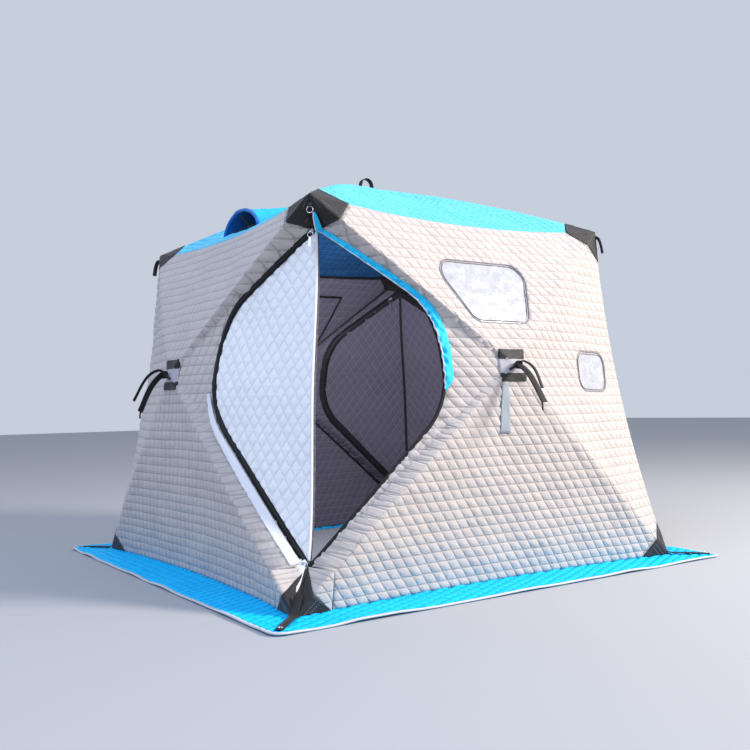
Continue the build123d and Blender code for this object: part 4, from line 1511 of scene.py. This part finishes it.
# Anchor straps: webbing sewn down a corner and laid out over the skirt to a metal eyelet, with
# places as (out from the corner, up); short tabs and rings at the top corners
door_corner_run = ((-0.048, 0.078), (-0.023, 0.045), (0.018, 0.020))
end_corner_run = ((-0.022, 0.046), (-0.014, 0.030), (0.008, 0.0185))
skirt_run = ((0.075, 0.0175), (0.135, 0.0165), (0.186, 0.0140))
tab_run = ((0.004, 1.526), (0.016, 1.518), (0.026, 1.492), (0.034, 1.448))
anchor_parts, tab_parts = [], []
foot_reach, top_reach = base_half * math.sqrt(2), top_half * math.sqrt(2)
for x_side, y_side in corner_sides:
    at_door = x_side * y_side > 0
    way = unit((x_side, y_side, 0.0))
    side_way = np.cross(up, way)
    run = (*(door_corner_run if at_door else end_corner_run), *skirt_run)
    route = [way * (foot_reach + out) + up * height for out, height in run]
    anchor_parts.append(strap(soft_line(route), side_way, webbing_width, webbing_thickness))
    eyelet = way * (foot_reach + 0.168) + up * 0.0178
    anchor_parts.append(ring(eyelet, way, side_way, 0.0082, 0.0019, number=1))
    if at_door:
        hang = way * (top_reach - 0.004) + up * 1.490
        tab_parts.append(ring(hang, up, side_way, 0.0125, 0.0020, number=1))
        tag = [hang + up * 0.026, hang + up * 0.012 + way * 0.005]
        tab_parts.append(strap(soft_line(tag, 6), side_way, 0.014, 0.004))
    else:
        route = [way * (top_reach + out) + up * height for out, height in tab_run]
        tab_parts.append(strap(soft_line(route, 20), side_way, 0.026, 0.011))
one("anchor_webbing", anchor_parts, [webbing, slider_metal], "webbing", "anchor_straps")
one("top_corner_tabs", tab_parts, [webbing, slider_metal], "webbing")

# Roof vent hoods: arched cloth over a netted opening, held up by a prop
hood_front = -0.700
hood_back = -0.447
hood_width = 0.170
hood_top = 1.5371 + 0.108
across_steps, along_steps = 29, 22
angles = math.pi * np.linspace(0, 1, across_steps)
back_place = onto_roof([(hood_back, 0.0)])[0][0]
rows = []
for v in np.linspace(0, 1, along_steps):
    x = hood_front + (hood_back - hood_front) * v
    half = hood_width * (1 - v) ** 0.92 + 0.004
    feet = onto_roof(np.column_stack((np.full(across_steps, x), np.cos(angles) * half)))[0]
    crown = (1 - v) * hood_top + v * (back_place[2] + 0.010)
    rise = (crown - feet[across_steps // 2, 2]) * np.sin(angles) ** 1.3
    droop = ripple(feet, 0.06, 71) * 0.0022 * np.sin(angles)
    rows.append(feet + up * (rise + droop + 0.006)[:, None])
rows = np.array(rows)
middle = np.array((0.5 * (hood_front + hood_back), 0.0, 1.56))
shrunk = rows + unit(middle - rows) * 0.0035 * np.sin(angles)[None, :, None] - up * 0.002
hood_points, hood_faces, _ = slab(rows, shrunk)
quads = (across_steps - 1) * (along_steps - 1)
hood_numbers = [0] * quads + [1] * quads + [2] * (len(hood_faces) - 2 * quads)
hood_parts = [(hood_points, hood_faces, hood_numbers)]
rim = rows[0] + np.array((-0.001, 0, 0))
hood_parts.append(strap(rim, np.gradient(rows[0], axis=0)[:, (1, 0, 2)], 0.014, 0.012, number=2))
mesh_corners = ((-0.672, -0.125), (-0.500, -0.030), (-0.500, 0.030), (-0.672, 0.125))
hood_parts.append(panel(mesh_corners, 0.0045, 0.001, onto_roof, number=3))
bar_corners = ((-0.688, -0.120), (-0.670, -0.120), (-0.670, 0.120), (-0.688, 0.120))
hood_parts.append(panel(bar_corners, 0.0065, 0.003, onto_roof, number=3))
prop_route = [(-0.690, 0.018, hood_top - 0.012), (-0.672, 0.0, 1.60), (-0.650, -0.018, 1.572)]
hood_parts.append(strap(soft_line(prop_route, 16), (0, 1, 0), 0.020, 0.003, number=3))
both_hoods = [placed(part, wall) for part in hood_parts for wall in window_walls]
one(
    "vent_hood_cloth",
    both_hoods,
    [roof_plain, hood_lining, blue_binding, zip_tape],
    "hood_cloth",
    "roof_vent_hoods",
)

# White piping round the fold of the folded-back door half
fold_route = door_seam(np.linspace(0, 1, 160))
fold_route = fold_route[(fold_route[:, 2] < 1.428) & (fold_route[:, 2] > 0.162)]
gore_way = unit(across_door(unit(door_top_normal + door_foot_normal)))
piping = strap(fold_route - gore_way * 0.0095, gore_way, 0.024, 0.011)
one("door_fold_piping", [piping], [pale_binding], "door_cloth")

# Black tape over the seams inside, along the eaves and down the corners, this far inside
tape_depth = 0.0165
eaves_route = top_seam(line_steps)[3:-3] + np.array((0, 0.0130, -0.0125))
end_route = end_seam(line_steps)[3:-1] + unit((-1, 1, 0)) * tape_depth
tape_parts = on_walls(strap(eaves_route, (0, 0.25, 1), tape_width, tape_thickness), all_walls)
tape_parts += on_walls(strap(end_route, (1, 1, 0), tape_width, tape_thickness), window_walls)
fold_tape = door_seam(line_steps)[3:-1] + unit((1, 1, 0)) * tape_depth
tape_parts += on_walls(strap(fold_tape, (1, -1, 0), tape_width, tape_thickness), ["back"])
one("inside_seam_tapes", tape_parts, [zip_tape], "wall_cloth")

# Stitch rows, drawn coarser than the real thread so that they show
stitch_pitch = 0.0095
stitch = box_at((0, 0, 0), np.eye(3), (0.0060, 0.0015, 0.0012))


def stitch_rows(name, routes, slot, material):
    """Rows of stitches along flat paths on walls: (path, off the surface, walls)."""
    places, frames = [], []
    for path, lift, names in routes:
        row_places, row_frames = along_surface(spaced(path, stitch_pitch))
        row_places = row_places + row_frames[:, 2] * lift
        places += [on_wall(row_places, wall) for wall in names]
        frames += [on_wall(row_frames, wall) for wall in names]
    made = repeated(name, stitch, np.concatenate(places), np.concatenate(frames), material)
    fit(rounded(made), slot)


def beside(path, distance):
    """A flat path moved sideways."""
    path = np.asarray(path, float)
    ways = unit(np.gradient(path, axis=0))
    return path + np.stack((-ways[:, 1], ways[:, 0]), 1) * distance


pocket_rows = []
for name, line in pocket_lines.items():
    if name == "door_foot_pocket":
        continue
    inward = 1 if name in ("door_top_pocket", "end_foot_pocket") else -1
    for distance in (0.006, 0.012):
        pocket_rows.append((beside(line, inward * distance)[1:-1], 0.0036, all_walls))
for ridge_line in ridge_lines[:2]:
    for distance in (-0.016, 0.016):
        pocket_rows.append((beside(ridge_line[99:-3], distance), 0.0024, all_walls))
for ridge_line, distances in (
    (ridge_lines[2], (0.018, 0.036)),
    (ridge_lines[3], (-0.036, -0.018, 0.018)),
):
    for distance in distances:
        pocket_rows.append((beside(ridge_line[110:-3], distance), 0.0052, all_walls))
stitch_rows("pocket_stitches", pocket_rows, "pocket_cloth", thread)
door_rows = [(beside(door_line, distance)[4:-4], 0.0012, all_walls) for distance in (0.016, 0.022)]
for outline in (big_window, small_window):
    door_rows.append((beside(outline, -0.010), 0.0012, window_walls))
    door_rows.append((beside(outline, 0.010), -0.0008, window_walls))
stitch_rows("wall_stitches", door_rows, "wall_cloth", window_stitch)

# Poles, hubs and boots keep their own shape
for name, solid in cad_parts.items():
    if solid.hide_render:
        continue
    finish = fibreglass if "poles" in name else nylon
    for number in range(len(solid.material_slots)):
        solid.material_slots[number].material = finish


# Camera
level_right = np.array((math.cos(camera_yaw), math.sin(camera_yaw), 0.0))
level_back = np.array((math.sin(camera_yaw), -math.cos(camera_yaw), 0.0))
back = level_back * math.cos(camera_pitch) - up * math.sin(camera_pitch)
level_up = np.cross(back, level_right)
right = math.cos(camera_roll) * level_right + math.sin(camera_roll) * level_up
above = -math.sin(camera_roll) * level_right + math.cos(camera_roll) * level_up
camera = bpy.data.objects.new("camera", bpy.data.cameras.new("camera"))
camera.data.lens = camera_lens
camera.data.clip_end = 100
camera.matrix_world = Matrix(
    [[*row, place] for row, place in zip(np.stack((right, above, back), 1), camera_place)]
    + [[0, 0, 0, 1]]
)
bpy.context.scene.collection.objects.link(camera)
bpy.context.scene.camera = camera

# Pale floor
floor_half = 30
floor = piece(
    "floor",
    [(x * floor_half, y * floor_half, 0) for x, y in corner_sides],
    [[0, 1, 2, 3]],
    [new_material("pale_floor", "#A6A9AD", 0.9)[0]],
)

# Soft studio light: a large key from the front right, a weak cool fill from the left, a lamp
# inside that stands for the daylight coming through the cloth, and pale sky light all round
def lamp(name, place, target, size, power, colour):
    """A square soft lamp at a place, turned to a target."""
    light = bpy.data.objects.new(name, bpy.data.lights.new(name, "AREA"))
    light.data.size = size
    light.data.energy = power
    light.data.color = hex_colour(colour)[:3]
    light.location = place
    way = Vector(target) - Vector(place)
    light.rotation_euler = way.to_track_quat("-Z", "Y").to_euler()
    bpy.context.scene.collection.objects.link(light)


lamp("key", (5.0, -6.0, 4.6), (0, 0, 0.7), 2.2, 1180, "#FFF3E8")
lamp("fill", (-5.5, -2.5, 6.4), (0, 0, 1.0), 4.0, 360, "#C8DAFF")
lamp("inside", (-0.30, -0.30, 1.30), (0.45, 0.60, 0.6), 0.6, 22, "#F0F0FF")
# The plain sRGB tone curve keeps the cloths' blues as strong as daylight shows them
bpy.context.scene.view_settings.view_transform = "Standard"
world = bpy.data.worlds.new("sky")
world.use_nodes = True
world.node_tree.nodes["Background"].inputs["Color"].default_value = hex_colour("#E2EAFA")
world.node_tree.nodes["Background"].inputs["Strength"].default_value = 0.75
bpy.context.scene.world = world
